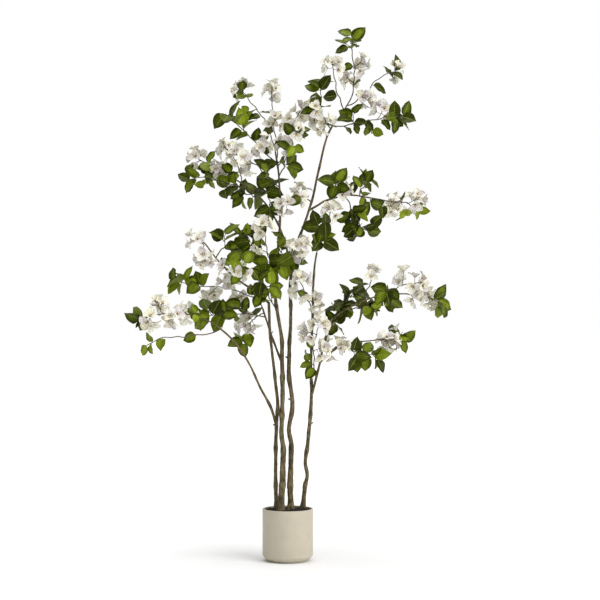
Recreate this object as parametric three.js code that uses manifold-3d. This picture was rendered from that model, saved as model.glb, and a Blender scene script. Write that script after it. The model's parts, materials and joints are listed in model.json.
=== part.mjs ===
// An artificial bougainvillea in a pot, in millimetres, +Z up.
// The origin is the middle of the pot's flat underside, and the side that faces the viewer looks along -Y.
import * as THREE from "three";
import Module from "manifold-3d";

const wasm = await Module();
wasm.setup();

// Clearance between pieces that meet
const GAP = 0.3;
const UP = new THREE.Vector3(0, 0, 1);
const GOLDEN_ANGLE = THREE.MathUtils.degToRad(137.5);

// Pot
const POT_RADIUS = 84.5;
const POT_HEIGHT = 174;
const POT_FOOT_RADIUS = 61;
const POT_BEND_RADIUS = 77;
const POT_BEND_HEIGHT = 8;
const POT_EDGE_HEIGHT = 21;
const POT_WALL = 6;
const POT_FLOOR = 9;
const POT_LIP = 1.5;
const POT_SIDES = 32;

// Filling, level with the ground the stems stand in
const SOIL_TOP = 169;

// Limbs: a route is a list of points from the root to the tip, in mm
const TRUNK_SIDES = 7;
const BOUGH_SIDES = 5;
const LIMB_STEP = 40;
const ROUTE_FINE = 12;
const ROOT_DEPTH = 10;
const FLARE_HEIGHT = 34;
const FLARE_GAIN = 0.55;
const KNOB_GAIN = 0.22;
const KNOB_EVERY = 3;
const STUB_SIDES = 3;
const STUB_LENGTH = 9;

const LIMBS = {
  stem_a: {
    route: [
      [-38, 25, SOIL_TOP], [-41, 26, 300], [-38, 21, 450], [-34, 18, 520], [-48, 8, 655],
      [-59, 0, 760], [-63, -8, 860],
    ],
    radius: [6.6, 3.8],
    stubs: [0.4, 0.86],
  },
  bough_a: {
    parent: "stem_a",
    route: [
      [-38, 21, 450], [-58, 8, 514], [-90, -15, 575], [-120, -45, 645], [-145, -70, 690],
      [-185, -100, 745], [-230, -130, 785],
    ],
    radius: [4.2, 2.6],
    stubs: [0.36, 0.7],
  },
  bough_a_high: {
    parent: "stem_a",
    route: [[-63, -8, 860], [-110, -25, 900], [-155, -50, 930], [-220, -85, 990], [-270, -110, 1055]],
    radius: [3.4, 2.2],
    stubs: [0.5],
  },
  stem_b: {
    route: [
      [-23, -6, SOIL_TOP], [-17, -6, 290], [-15, -8, 376], [-21, -8, 433], [-17, -8, 536],
      [-19, -6, 660], [-20, -10, 740], [-40, -24, 872], [-35, -30, 996], [-25, -24, 1143],
      [-29, -12, 1277], [-41, 0, 1364],
    ],
    radius: [9.4, 2.4],
    stubs: [0.18, 0.31, 0.62],
  },
  bough_b: {
    parent: "stem_b",
    route: [[-19, -6, 660], [-36, 20, 700], [-60, 50, 765], [-85, 85, 840]],
    radius: [3.8, 2.6],
    stubs: [0.55],
  },
  stem_c: {
    route: [
      [11, 20, SOIL_TOP], [8, 21, 273], [12, 22, 380], [4, 22, 434], [16, 22, 525], [4, 24, 612],
      [5, 26, 700], [10, 30, 810], [9, 34, 927], [26, 34, 1038], [57, 30, 1129], [84, 26, 1215],
      [104, 18, 1307], [129, 8, 1409], [149, 2, 1450], [178, -5, 1487], [206, -10, 1533],
    ],
    radius: [8.6, 2.2],
    stubs: [0.15, 0.26, 0.36],
  },
  bough_c_left: {
    parent: "stem_c",
    route: [
      [10, 34, 955], [0, 52, 1020], [-10, 66, 1070], [-35, 90, 1130], [-60, 110, 1175],
      [-95, 130, 1220], [-135, 150, 1255], [-190, 170, 1290],
    ],
    radius: [3.4, 2.2],
    stubs: [0.45],
  },
  bough_c_right: {
    parent: "stem_c",
    route: [
      [73, 28, 1172], [100, 46, 1188], [125, 70, 1205], [170, 110, 1220], [215, 150, 1230],
      [270, 185, 1225], [335, 215, 1215],
    ],
    radius: [3.2, 2.1],
    stubs: [0.4],
  },
  stem_d: {
    route: [
      [51, 42, SOIL_TOP], [58, 43, 244], [65, 42, 281], [59, 42, 321], [67, 42, 385], [74, 42, 466],
      [80, 41, 547], [78, 39, 628], [80, 36, 732], [84, 32, 836], [86, 28, 927], [90, 24, 984],
      [97, 20, 1028],
    ],
    radius: [6.9, 2.9],
    stubs: [0.14, 0.33],
  },
  bough_d_right: {
    parent: "stem_d",
    route: [[80, 41, 547], [91, 30, 590], [105, 8, 650], [115, -18, 700], [130, -45, 755], [145, -70, 805]],
    radius: [4.1, 2.9],
    stubs: [0.25, 0.6],
  },
  bough_d_far: {
    parent: "bough_d_right",
    route: [[145, -70, 805], [190, -100, 838], [250, -138, 868], [315, -170, 888], [370, -195, 890]],
    radius: [2.7, 2.0],
    stubs: [0.5],
  },
  bough_d_low: {
    parent: "bough_d_right",
    route: [[107, 4, 660], [140, 30, 690], [180, 70, 715], [220, 110, 725], [280, 150, 730]],
    radius: [3.0, 2.1],
    stubs: [0.5],
  },
};

// Sprays: twigs with leaves and blooms, each one mass. A row is its name, the limb it leaves, the share of
// the limb's length where it leaves, the end of its stem in mm, how far the stem's middle is lifted as a
// share of its length, and one letter for each twig: L a rosette of leaves, Y young light leaves, F blooms,
// M blooms with leaves. The last letter sits on the stem's tip.
const SPRAYS = [
  ["top_peak", "stem_c", 1, [214, -75, 1745], 0.02, "FFLL"],
  ["top_left", "stem_c", 0.975, [148, -110, 1640], 0.05, "F"],
  ["top_right", "stem_c", 0.988, [362, 60, 1640], 0.14, "FM"],
  ["top_low_right", "stem_c", 0.93, [382, -62, 1474], 0.05, "LYFLL"],
  ["top_rosette", "stem_c", 0.9, [112, 96, 1606], 0.03, "FL"],
  ["top_low_left", "stem_c", 0.92, [88, -70, 1503], 0.05, "FM"],
  ["ul_peak", "stem_b", 1, [-155, 30, 1572], 0.06, "FYM"],
  ["ul_left", "stem_b", 0.97, [-204, -120, 1478], 0.04, "FLL"],
  ["ul_right", "stem_b", 0.98, [-55, 130, 1590], 0.04, "F"],
  ["ul_mid", "stem_b", 0.96, [40, -20, 1496], 0.25, "FFF"],
  ["ul_hang", "stem_b", 0.93, [25, -150, 1422], 0.05, "LYM"],
  ["ul_front", "stem_b", 0.9, [-165, -110, 1345], 0.08, "LLFFF"],
  ["lt_end", "bough_c_left", 1, [-320, 215, 1365], 0.05, "FLLLF"],
  ["lt_up", "bough_c_left", 0.92, [-219, 270, 1402], 0.08, "LFFF"],
  ["lt_low", "bough_c_left", 0.86, [-333, 120, 1279], 0.14, "LYL"],
  ["lt_hang", "bough_c_left", 0.72, [-180, 260, 1235], 0.12, "LLL"],
  ["lt_in", "bough_c_left", 0.55, [-71, -12, 1243], 0.08, "LLL"],
  ["ur_end", "bough_c_right", 1, [459, 285, 1186], 0.1, "FYFFY"],
  ["ur_far", "bough_c_right", 0.85, [360, 210, 1195], -0.1, "LF"],
  ["ur_up", "bough_c_right", 0.7, [280, 290, 1299], 0.05, "YLL"],
  ["ur_low", "bough_c_right", 0.5, [265, 90, 1106], -0.12, "LLLLLL"],
  ["ur_in", "bough_c_right", 0.3, [160, -50, 1262], 0.06, "FL"],
  ["ur_d", "stem_d", 1, [145, -130, 1165], 0.06, "LLLF"],
  ["ur_mid", "stem_c", 0.74, [-14, -60, 1180], 0.2, "FFF"],
  ["cm_a1", "bough_a_high", 1, [-270, -150, 1006], 0.08, "FFF"],
  ["cm_a2", "bough_a_high", 0.8, [-110, -30, 1088], 0.05, "LLLLL"],
  ["cm_a3", "bough_a_high", 0.6, [-152, -190, 960], 0.08, "LFFLM"],
  ["cm_b1", "bough_b", 1, [-392, 170, 938], 0.02, "FFFLLL"],
  ["cm_b2", "bough_b", 0.85, [-290, 30, 806], 0.1, "LLLLL"],
  ["cm_b3", "bough_b", 0.92, [-159, 190, 724], 0.14, "FFL"],
  ["cm_s", "stem_b", 0.66, [-79, -140, 1111], 0.06, "LLFFF"],
  ["cm_r", "stem_b", 0.66, [41, -160, 1048], 0.08, "LFLF"],
  ["cm_mid", "stem_c", 0.56, [-30, -120, 1045], 0.08, "LLL"],
  ["cm_low", "stem_b", 0.56, [-95, -160, 935], 0.1, "YLLLL"],
  ["cm_big", "stem_d", 0.78, [40, -90, 940], 0.08, "FFF"],
  ["ll_1", "bough_a", 1, [-474, -185, 806], 0.14, "YFFFFL"],
  ["ll_2", "bough_a", 0.96, [-446, -250, 726], 0.06, "Y"],
  ["rm_1", "bough_d_right", 0.8, [216, 20, 905], 0.06, "LLLLL"],
  ["rm_far", "bough_d_far", 1, [498, -230, 858], 0.14, "FFL"],
  ["rm_up", "bough_d_far", 0.75, [415, -280, 925], 0.06, "LFF"],
  ["rm_low", "bough_d_far", 0.25, [335, -120, 872], 0.06, "LYLYL"],
  ["rm_3", "bough_d_far", 0.5, [277, -120, 952], 0.06, "LF"],
  ["rl_1", "bough_d_low", 1, [392, 220, 731], 0.08, "FFFL"],
  ["rl_2", "bough_d_low", 0.5, [305, 130, 672], 0.1, "LLL"],
  ["rl_4", "bough_d_right", 0.25, [105, -130, 795], 0.1, "YFFF"],
  ["rl_5", "bough_d_low", 0.2, [172, -40, 720], 0.1, "FFF"],
];

// How a spray grows
const SEED = 4177;
const SIDES = 3;
const STEM_RADIUS = 1.7;
const STEM_TIP_RADIUS = 1.1;
const STEM_STEP = 52;
const STEM_TRIES = 16;
const TWIG_RADIUS = 1.0;
const STALK_RADIUS = 0.8;
const ROOT_SHARE = 0.36;
const TWIG_LENGTH = [22, 44];
const TWIG_LEAN = [0.75, 1.15];
const TWIG_TRIES = 12;
const TWIG_TURN = 0.55;
const TWIG_CLEAR = 6;
const FIRST_TWIG = 0.28;
const CLUSTER_TRIES = 5;
const CLUSTER_TURN = 0.5;

// What grows at the end of a twig, by its letter in a pattern
const CLUSTERS = {
  L: { leaves: 4, blooms: 0, leafLength: [50, 66] },
  Y: { leaves: 3, blooms: 0, leafLength: [34, 46] },
  F: { leaves: 0, blooms: 4 },
  M: { leaves: 3, blooms: 2, leafLength: [46, 60] },
};

// Leaves and blooms
const LEAF_WIDTH = 0.68;
const LEAF_LEAN = [0.95, 1.4];
const LEAF_ROLL = 0.5;
const LEAF_DROOP = 0.1;
const LEAF_CORE = 2.6;
const LEAF_LIFT = 1.8;
const SHORTER = 0.8;
const BLOOM_RADIUS = [26, 32];
const BLOOM_DEPTH = 17;
const BLOOM_STALK = [13, 19];
const BLOOM_LEAN = [1.3, 1.45];
const BLOOM_SPACING = 4;
const SPACE = 0.8;
const MERGE = 0.05;

const COLOURS = {
  pot: 0xd0c8b5,
  soil: 0x1d1712,
  bark: 0x5a4a34,
  leaf: 0x3c5c26,
};

const material = (colour, roughness) =>
  new THREE.MeshStandardMaterial({ color: colour, roughness, metalness: 0 });

const vector = (point) => new THREE.Vector3(point[0], point[1], point[2]);

// Repeatable random numbers between 0 and 1
function seeded(seed) {
  let state = seed >>> 0;
  return function next() {
    state = (state + 0x6d2b79f5) >>> 0;
    let mixed = Math.imul(state ^ (state >>> 15), state | 1);
    mixed ^= mixed + Math.imul(mixed ^ (mixed >>> 7), mixed | 61);
    return ((mixed ^ (mixed >>> 14)) >>> 0) / 4294967296;
  };
}

const between = (range, share) => range[0] + (range[1] - range[0]) * share;

// A unit vector square to "axis", as near to "wanted" as can be
function squareTo(axis, wanted) {
  const side = wanted.clone().addScaledVector(axis, -wanted.dot(axis));
  if (side.lengthSq() < 1e-6) side.set(1, 0, 0).addScaledVector(axis, -axis.x);
  return side.normalize();
}

// "axis" leaned over by "angle" toward the direction at "azimuth" round it
function leaned(axis, azimuth, angle) {
  const side = squareTo(axis, UP);
  const across = axis.clone().cross(side);
  return axis
    .clone()
    .multiplyScalar(Math.cos(angle))
    .addScaledVector(side, Math.sin(angle) * Math.cos(azimuth))
    .addScaledVector(across, Math.sin(angle) * Math.sin(azimuth));
}

// A closed solid from points and triangles
function solidFrom(points, triangles) {
  const solid = new wasm.Manifold(
    new wasm.Mesh({
      numProp: 3,
      vertProperties: new Float32Array(points.flatMap((p) => [p.x, p.y, p.z])),
      triVerts: new Uint32Array(triangles.flat()),
    }),
  );
  return solid;
}

// A closed tube along points, with a radius at each point
function tubeSolid(points, radii, sides) {
  const ringPoints = [];
  const triangles = [];
  let side = squareTo(points[1].clone().sub(points[0]).normalize(), new THREE.Vector3(1, 0, 0));
  const last = points.length - 1;
  for (let i = 0; i <= last; i += 1) {
    const ahead = points[Math.min(i + 1, last)];
    const behind = points[Math.max(i - 1, 0)];
    const along = ahead.clone().sub(behind).normalize();
    side = squareTo(along, side);
    const across = along.clone().cross(side);
    for (let k = 0; k < sides; k += 1) {
      const angle = (k / sides) * Math.PI * 2;
      ringPoints.push(
        points[i]
          .clone()
          .addScaledVector(side, Math.cos(angle) * radii[i])
          .addScaledVector(across, Math.sin(angle) * radii[i]),
      );
    }
  }
  for (let i = 0; i < last; i += 1) {
    for (let k = 0; k < sides; k += 1) {
      const a = i * sides + k;
      const b = i * sides + ((k + 1) % sides);
      triangles.push([a, b, b + sides], [a, b + sides, a + sides]);
    }
  }
  for (let k = 1; k < sides - 1; k += 1) {
    triangles.push([0, k + 1, k], [last * sides, last * sides + k, last * sides + k + 1]);
  }
  return solidFrom(ringPoints, triangles);
}

// Points along a smooth curve through a route, evenly spaced. Each span is a Hermite curve whose ends point
// along the line between the neighbouring route points.
function smoothRoute(route, step) {
  const knots = route.map(vector);
  const last = knots.length - 1;
  const slopes = knots.map((_, i) => {
    const before = knots[Math.max(i - 1, 0)];
    return knots[Math.min(i + 1, last)].clone().sub(before).normalize();
  });
  const fine = [knots[0]];
  for (let i = 0; i < last; i += 1) {
    const span = knots[i].distanceTo(knots[i + 1]);
    for (let k = 1; k <= ROUTE_FINE; k += 1) {
      const t = k / ROUTE_FINE;
      const point = knots[i].clone().multiplyScalar((1 + 2 * t) * (1 - t) * (1 - t));
      point.addScaledVector(knots[i + 1], t * t * (3 - 2 * t));
      point.addScaledVector(slopes[i], span * t * (1 - t) * (1 - t));
      point.addScaledVector(slopes[i + 1], -span * t * t * (1 - t));
      fine.push(point);
    }
  }
  const travelled = [0];
  for (let i = 1; i < fine.length; i += 1) travelled.push(travelled[i - 1] + fine[i].distanceTo(fine[i - 1]));
  const length = travelled[fine.length - 1];
  const count = Math.max(2, Math.round(length / step));
  const points = [fine[0]];
  let i = 1;
  for (let k = 1; k < count; k += 1) {
    const wanted = (length * k) / count;
    while (travelled[i] < wanted) i += 1;
    const part = (wanted - travelled[i - 1]) / (travelled[i] - travelled[i - 1]);
    points.push(fine[i - 1].clone().lerp(fine[i], part));
  }
  points.push(fine[fine.length - 1]);
  return points;
}

// The points and radii of one limb: it tapers, swells at its knobs and flares at the ground
function limbLine(limb) {
  const points = smoothRoute(limb.route, LIMB_STEP);
  if (!limb.parent) points[0].z -= ROOT_DEPTH;
  const last = points.length - 1;
  const radii = points.map((point, i) => {
    const share = i / last;
    let radius = between(limb.radius, Math.pow(share, 0.8));
    if (i % KNOB_EVERY === 2 && i < last) radius *= 1 + KNOB_GAIN;
    const height = point.z - SOIL_TOP;
    if (!limb.parent && height < FLARE_HEIGHT) radius *= 1 + FLARE_GAIN * (1 - height / FLARE_HEIGHT);
    return radius;
  });
  return { points, radii };
}

// Where a limb is at a share of its length: point, direction and radius
function stationOf(line, share) {
  const last = line.points.length - 1;
  const place = Math.min(share * last, last - 1e-6);
  const i = Math.floor(place);
  const part = place - i;
  return {
    point: line.points[i].clone().lerp(line.points[i + 1], part),
    along: line.points[i + 1].clone().sub(line.points[i]).normalize(),
    radius: line.radii[i] + (line.radii[i + 1] - line.radii[i]) * part,
  };
}

const sidesOf = (name) => (LIMBS[name].parent ? BOUGH_SIDES : TRUNK_SIDES);

// A short cut-off twig left on a limb
function stub(line, share, number, extra) {
  const at = stationOf(line, share);
  const way = leaned(at.along, number * GOLDEN_ANGLE + 1.2, 1.05);
  const end = at.point.clone().addScaledVector(way, at.radius + STUB_LENGTH + extra);
  return tubeSolid([at.point, end], [at.radius * 0.55 + extra * 2, at.radius * 0.4 + extra * 2], STUB_SIDES);
}

// The room a limb needs, wider than the limb by the gap: what joins it is cut back by this
function limbRoom(name, line) {
  const sides = sidesOf(name);
  const last = line.points.length - 1;
  const end = stationOf(line, 1);
  const points = [...line.points.slice(0, last), end.point.clone().addScaledVector(end.along, GAP)];
  const tube = tubeSolid(points, line.radii.map((r) => r + GAP / Math.cos(Math.PI / sides)), sides);
  const stubs = LIMBS[name].stubs.map((share, number) => stub(line, share, number, GAP));
  return wasm.Manifold.union([tube, ...stubs]);
}

// A limb with its stubs, cut clear of the limb it leaves, or cut flat at the ground
function limbSolid(name, lines, rooms) {
  const limb = LIMBS[name];
  const line = lines[name];
  const stubs = limb.stubs.map((share, number) => stub(line, share, number, 0));
  const solid = wasm.Manifold.union([tubeSolid(line.points, line.radii, sidesOf(name)), ...stubs]);
  if (limb.parent) return biggest(solid.subtract(rooms[limb.parent]));
  return biggest(solid.trimByPlane([0, 0, 1], SOIL_TOP + GAP));
}

// The largest of a solid's separate bodies
function biggest(solid) {
  const bodies = solid.decompose();
  bodies.sort((a, b) => b.volume() - a.volume());
  return bodies[0];
}

// A box round a stretch of limb, twig, leaf or bloom: middle, three axes and half sizes
function makeBox(middle, axes, half) {
  return { middle, axes, half, reach: Math.hypot(half[0], half[1], half[2]) };
}

function stretchBox(a, b, radius) {
  const along = b.clone().sub(a);
  const length = along.length();
  along.normalize();
  const side = squareTo(along, UP);
  const middle = a.clone().add(b).multiplyScalar(0.5);
  return makeBox(middle, [along, side, along.clone().cross(side)], [length / 2 + radius, radius, radius]);
}

// Whether two boxes come nearer than SPACE, by the separating axis test
function boxesMeet(a, b) {
  const apart = b.middle.clone().sub(a.middle);
  const limit = a.reach + b.reach + SPACE;
  if (apart.lengthSq() > limit * limit) return false;
  const tries = [...a.axes, ...b.axes];
  for (const first of a.axes) {
    for (const second of b.axes) {
      const cross = first.clone().cross(second);
      if (cross.lengthSq() > 1e-6) tries.push(cross.normalize());
    }
  }
  for (const axis of tries) {
    let room = SPACE;
    for (let i = 0; i < 3; i += 1) {
      room += a.half[i] * Math.abs(a.axes[i].dot(axis));
      room += b.half[i] * Math.abs(b.axes[i].dot(axis));
    }
    if (Math.abs(apart.dot(axis)) > room) return false;
  }
  return true;
}

const anyMeet = (boxes, others) => boxes.some((box) => others.some((other) => boxesMeet(box, other)));

// The box a leaf fills, without the base that is fused to its twig
function leafBox(leaf) {
  const across = leaf.face.clone().cross(leaf.way);
  const middle = leaf.base.clone().addScaledVector(leaf.way, leaf.length * 0.58);
  const halves = [leaf.length * 0.42, (leaf.length * LEAF_WIDTH) / 2, 2.5];
  return makeBox(middle, [leaf.way, across, leaf.face], halves);
}

// The box a bloom fills
function bloomBox(bloom) {
  const side = squareTo(bloom.way, UP);
  const middle = bloom.base.clone().addScaledVector(bloom.way, bloom.stalk + BLOOM_DEPTH * 0.55);
  const wide = bloom.radius * 0.82;
  return makeBox(middle, [bloom.way, side, bloom.way.clone().cross(side)], [BLOOM_DEPTH * 0.5, wide, wide]);
}

// A leaf that leans away from the twig it ends, hangs a little and is rolled about its own length
function leafAt(end, along, azimuth, shares, lengthRange, scale) {
  const way = leaned(along, azimuth, between(LEAF_LEAN, shares[0]));
  way.addScaledVector(UP, -LEAF_DROOP).normalize();
  const flat = squareTo(way, along);
  const roll = (shares[1] - 0.5) * LEAF_ROLL;
  const across = way.clone().cross(flat);
  const face = flat.clone().multiplyScalar(Math.cos(roll)).addScaledVector(across, Math.sin(roll));
  return { base: end, way, face, length: between(lengthRange, shares[2]) * scale };
}

// Leaves and blooms round a twig's end, with those left out that meet something else
function clusterItems(kind, end, along, phase, shares, others) {
  const made = { end, along, leaves: [], blooms: [], boxes: [] };
  const keep = (list, item, box) => {
    if (anyMeet([box], others)) return false;
    list.push(item);
    made.boxes.push(box);
    return true;
  };
  for (let i = 0; i < kind.leaves; i += 1) {
    const azimuth = phase + (i / kind.leaves) * Math.PI * 2;
    const own = shares.slice(i * 3, i * 3 + 3);
    const leaf = leafAt(end, along, azimuth, own, kind.leafLength, 1);
    if (keep(made.leaves, leaf, leafBox(leaf))) continue;
    const shorter = leafAt(end, along, azimuth, own, kind.leafLength, SHORTER);
    keep(made.leaves, shorter, leafBox(shorter));
  }
  for (let i = 0; i < kind.blooms; i += 1) {
    const own = shares.slice(12 + i * 3, 15 + i * 3);
    const isEnd = i === 0 && kind.leaves === 0;
    const around = kind.leaves === 0 ? kind.blooms - 1 : kind.blooms;
    const azimuth = phase + 0.4 + (i / around) * Math.PI * 2;
    const base = isEnd ? end : end.clone().addScaledVector(along, -BLOOM_SPACING * (i + 1));
    const way = isEnd ? along.clone() : leaned(along, azimuth, between(BLOOM_LEAN, own[0]));
    const bloom = {
      base,
      way,
      radius: between(BLOOM_RADIUS, own[1]),
      stalk: isEnd ? 3 : between(BLOOM_STALK, own[2]),
      turn: azimuth + own[2] * 2,
      isEnd,
    };
    keep(made.blooms, bloom, bloomBox(bloom));
  }
  return made;
}

// The fullest of a few turns of a cluster
function growCluster(letter, end, along, random, others) {
  const kind = CLUSTERS[letter];
  const phase = random() * Math.PI * 2;
  const shares = Array.from({ length: 24 }, () => random());
  let best = null;
  for (let attempt = 0; attempt < CLUSTER_TRIES; attempt += 1) {
    const made = clusterItems(kind, end, along, phase + attempt * CLUSTER_TURN, shares, others);
    if (!best || made.boxes.length > best.boxes.length) best = made;
    if (made.boxes.length === kind.leaves + kind.blooms) break;
  }
  return best;
}

// The stem of a spray: it leaves its limb at a slant, arches and ends at its tip
function sprayStem(root, along, tip, arch, isEnd, azimuth) {
  const reach = tip.clone().sub(root);
  const length = reach.length();
  const away = isEnd ? along.clone() : squareTo(along, reach).addScaledVector(along, 0.45).normalize();
  const sway = leaned(reach.clone().normalize(), azimuth, Math.PI / 2).multiplyScalar(length * 0.07);
  const second = root.clone().addScaledVector(away, length * 0.3);
  const third = root.clone().lerp(tip, 0.68).addScaledVector(UP, arch * length).add(sway);
  const curve = new THREE.CubicBezierCurve3(root, second, third, tip);
  return curve.getPoints(Math.max(3, Math.round(length / STEM_STEP)));
}

// The stem of one spray, turned until it is clear of the limbs and the stems grown before it
function growStem(row, number, lines, taken) {
  const [name, limbName, share, tipPoint, arch, pattern] = row;
  const random = seeded(SEED + number * 97);
  const at = stationOf(lines[limbName], share);
  const isEnd = share === 1;
  const tip = vector(tipPoint);
  const phase = random() * Math.PI * 2;
  const others = taken.filter((box) => box.owner !== limbName);
  const spray = { name, limbName, pattern, random, phase, twigs: [] };
  let boxes = [];
  for (let attempt = 0; attempt < STEM_TRIES; attempt += 1) {
    const more = arch + Math.floor(attempt / 8) * 0.1;
    spray.stem = sprayStem(at.point, at.along, tip, more, isEnd, phase + attempt * 0.8);
    boxes = spray.stem.slice(1).map((point, i) => stretchBox(spray.stem[i], point, STEM_RADIUS));
    if (!anyMeet(boxes, others)) break;
  }
  taken.push(...boxes);
  const last = spray.stem.length - 1;
  spray.radii = spray.stem.map((_, i) => STEM_RADIUS + (STEM_TIP_RADIUS - STEM_RADIUS) * (i / last));
  return spray;
}

// The twig at one place on a spray's stem, with the fullest cluster that a few turns of it give
function growTwig(spray, from, azimuth, letter, taken) {
  const length = between(TWIG_LENGTH, spray.random());
  const lean = between(TWIG_LEAN, spray.random());
  const seed = Math.floor(spray.random() * 1e6);
  const full = CLUSTERS[letter].leaves + CLUSTERS[letter].blooms;
  let best = null;
  for (let attempt = 0; attempt < TWIG_TRIES; attempt += 1) {
    const way = leaned(from.along, azimuth + attempt * TWIG_TURN, lean);
    const end = from.point.clone().addScaledVector(way, length);
    const box = stretchBox(from.point.clone().addScaledVector(way, TWIG_CLEAR), end, TWIG_RADIUS);
    if (anyMeet([box], taken)) continue;
    const cluster = growCluster(letter, end, way, seeded(seed), taken);
    const count = cluster.boxes.length;
    if (count > 0 && (!best || count > best.cluster.boxes.length)) best = { from: from.point, box, cluster };
    if (count === full) break;
  }
  return best;
}

// The twigs, leaves and blooms of a spray by the seeded rule, from its tip back to its root
function growTwigs(spray, taken) {
  const stemLine = { points: spray.stem, radii: spray.radii };
  const count = spray.pattern.length;
  const tip = spray.stem[spray.stem.length - 1];
  spray.end = growCluster(spray.pattern[count - 1], tip, stationOf(stemLine, 1).along, spray.random, taken);
  taken.push(...spray.end.boxes);
  for (let k = count - 2; k >= 0; k -= 1) {
    const from = stationOf(stemLine, FIRST_TWIG + ((1 - FIRST_TWIG) * k) / (count - 1));
    const twig = growTwig(spray, from, spray.phase + k * GOLDEN_ANGLE, spray.pattern[k], taken);
    if (!twig) continue;
    spray.twigs.push(twig);
    taken.push(twig.box, ...twig.cluster.boxes);
  }
}

// A closed tube whose far end opens into a thin star: "rim" holds the star's outline and "top" its middle
function starTube(points, radii, rim, top) {
  const last = points.length - 1;
  const vertices = [];
  const triangles = [];
  let side = squareTo(points[1].clone().sub(points[0]).normalize(), new THREE.Vector3(1, 0, 0));
  let across = null;
  for (let i = 0; i <= last; i += 1) {
    const along = points[Math.min(i + 1, last)].clone().sub(points[Math.max(i - 1, 0)]).normalize();
    side = squareTo(along, side);
    across = along.clone().cross(side);
    for (let k = 0; k < SIDES; k += 1) {
      const angle = (k / SIDES) * Math.PI * 2;
      const point = points[i].clone().addScaledVector(side, Math.cos(angle) * radii[i]);
      vertices.push(point.addScaledVector(across, Math.sin(angle) * radii[i]));
    }
  }
  for (let i = 0; i < last; i += 1) {
    for (let k = 0; k < SIDES; k += 1) {
      const a = i * SIDES + k;
      const b = i * SIDES + ((k + 1) % SIDES);
      triangles.push([a, b, b + SIDES], [a, b + SIDES, a + SIDES]);
    }
  }
  triangles.push([0, 2, 1]);
  const turn = (point) => {
    const out = point.clone().sub(points[last]);
    return (Math.atan2(out.dot(across), out.dot(side)) + Math.PI * 2) % (Math.PI * 2);
  };
  const ordered = rim.map((point) => ({ point, angle: turn(point) })).sort((a, b) => a.angle - b.angle);
  const ring = last * SIDES;
  const rimStart = vertices.length;
  const count = ordered.length;
  vertices.push(...ordered.map((entry) => entry.point), top);
  const nearest = (entry) => Math.round(entry.angle / ((Math.PI * 2) / SIDES)) % SIDES;
  for (let j = 0; j < count; j += 1) {
    const next = (j + 1) % count;
    let q = nearest(ordered[j]);
    triangles.push([ring + q, rimStart + next, rimStart + j]);
    triangles.push([rimStart + j, rimStart + next, rimStart + count]);
    while (q !== nearest(ordered[next])) {
      triangles.push([ring + q, ring + ((q + 1) % SIDES), rimStart + next]);
      q = (q + 1) % SIDES;
    }
  }
  return solidFrom(vertices, triangles);
}

// The outline of a leaf from its base: two points at each edge and one at the tip
function leafRim(leaf) {
  const across = leaf.face.clone().cross(leaf.way);
  const place = (along, side) =>
    leaf.base
      .clone()
      .addScaledVector(leaf.way, along * leaf.length)
      .addScaledVector(across, side * leaf.length * LEAF_WIDTH);
  return [place(0.36, -0.43), place(0.68, -0.34), place(1, 0), place(0.68, 0.34), place(0.36, 0.43)];
}

// The notches between neighbouring leaves of a rosette, close round its middle
function rosetteNotches(cluster) {
  const side = squareTo(cluster.along, UP);
  const across = cluster.along.clone().cross(side);
  const angles = cluster.leaves.map((leaf) => Math.atan2(leaf.way.dot(across), leaf.way.dot(side)));
  angles.sort((a, b) => a - b);
  return angles.map((angle, i) => {
    const next = i + 1 < angles.length ? angles[i + 1] : angles[0] + Math.PI * 2;
    const middle = (angle + next) / 2;
    return cluster.end
      .clone()
      .addScaledVector(side, Math.cos(middle) * LEAF_CORE)
      .addScaledVector(across, Math.sin(middle) * LEAF_CORE);
  });
}

// The outline of a bloom: the tips of three bracts and the notches between them
function bloomRim(bloom) {
  const side = leaned(bloom.way, bloom.turn, Math.PI / 2);
  const across = bloom.way.clone().cross(side);
  return Array.from({ length: 6 }, (_, i) => {
    const angle = (i * Math.PI) / 3;
    const radius = i % 2 === 0 ? bloom.radius : bloom.radius * 0.55;
    const height = bloom.stalk + BLOOM_DEPTH * (i % 2 === 0 ? 1 : 0.6);
    return bloom.base
      .clone()
      .addScaledVector(bloom.way, height)
      .addScaledVector(side, Math.cos(angle) * radius)
      .addScaledVector(across, Math.sin(angle) * radius);
  });
}

// A twig with the star of leaves or the bloom that ends it, and the blooms on stalks beside it
function clusterSolids(points, radii, cluster) {
  const endBloom = cluster.blooms.find((bloom) => bloom.isEnd);
  const stalkRadii = [STALK_RADIUS * ROOT_SHARE, STALK_RADIUS];
  const solids = [];
  if (endBloom) {
    const top = cluster.end.clone().addScaledVector(cluster.along, endBloom.stalk + 3);
    solids.push(starTube(points, radii, bloomRim(endBloom), top));
  } else if (cluster.leaves.length > 0) {
    const rim = [...cluster.leaves.flatMap(leafRim), ...rosetteNotches(cluster)];
    solids.push(starTube(points, radii, rim, cluster.end.clone().addScaledVector(cluster.along, LEAF_LIFT)));
  } else {
    solids.push(tubeSolid(points, radii, SIDES));
  }
  for (const bloom of cluster.blooms) {
    if (bloom.isEnd) continue;
    const stalkEnd = bloom.base.clone().addScaledVector(bloom.way, bloom.stalk);
    const top = stalkEnd.clone().addScaledVector(bloom.way, 3);
    solids.push(starTube([bloom.base, stalkEnd], stalkRadii, bloomRim(bloom), top));
  }
  return solids;
}

// A spray's stem, twigs, leaves and blooms in one body, clear of the limb it grows from
function spraySolid(spray, rooms) {
  const twigRadii = [TWIG_RADIUS * ROOT_SHARE, TWIG_RADIUS];
  const parts = clusterSolids(spray.stem, spray.radii, spray.end);
  for (const twig of spray.twigs) {
    parts.push(...clusterSolids([twig.from, twig.cluster.end], twigRadii, twig.cluster));
  }
  return biggest(wasm.Manifold.union(parts).subtract(rooms[spray.limbName]).simplify(MERGE));
}

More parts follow.
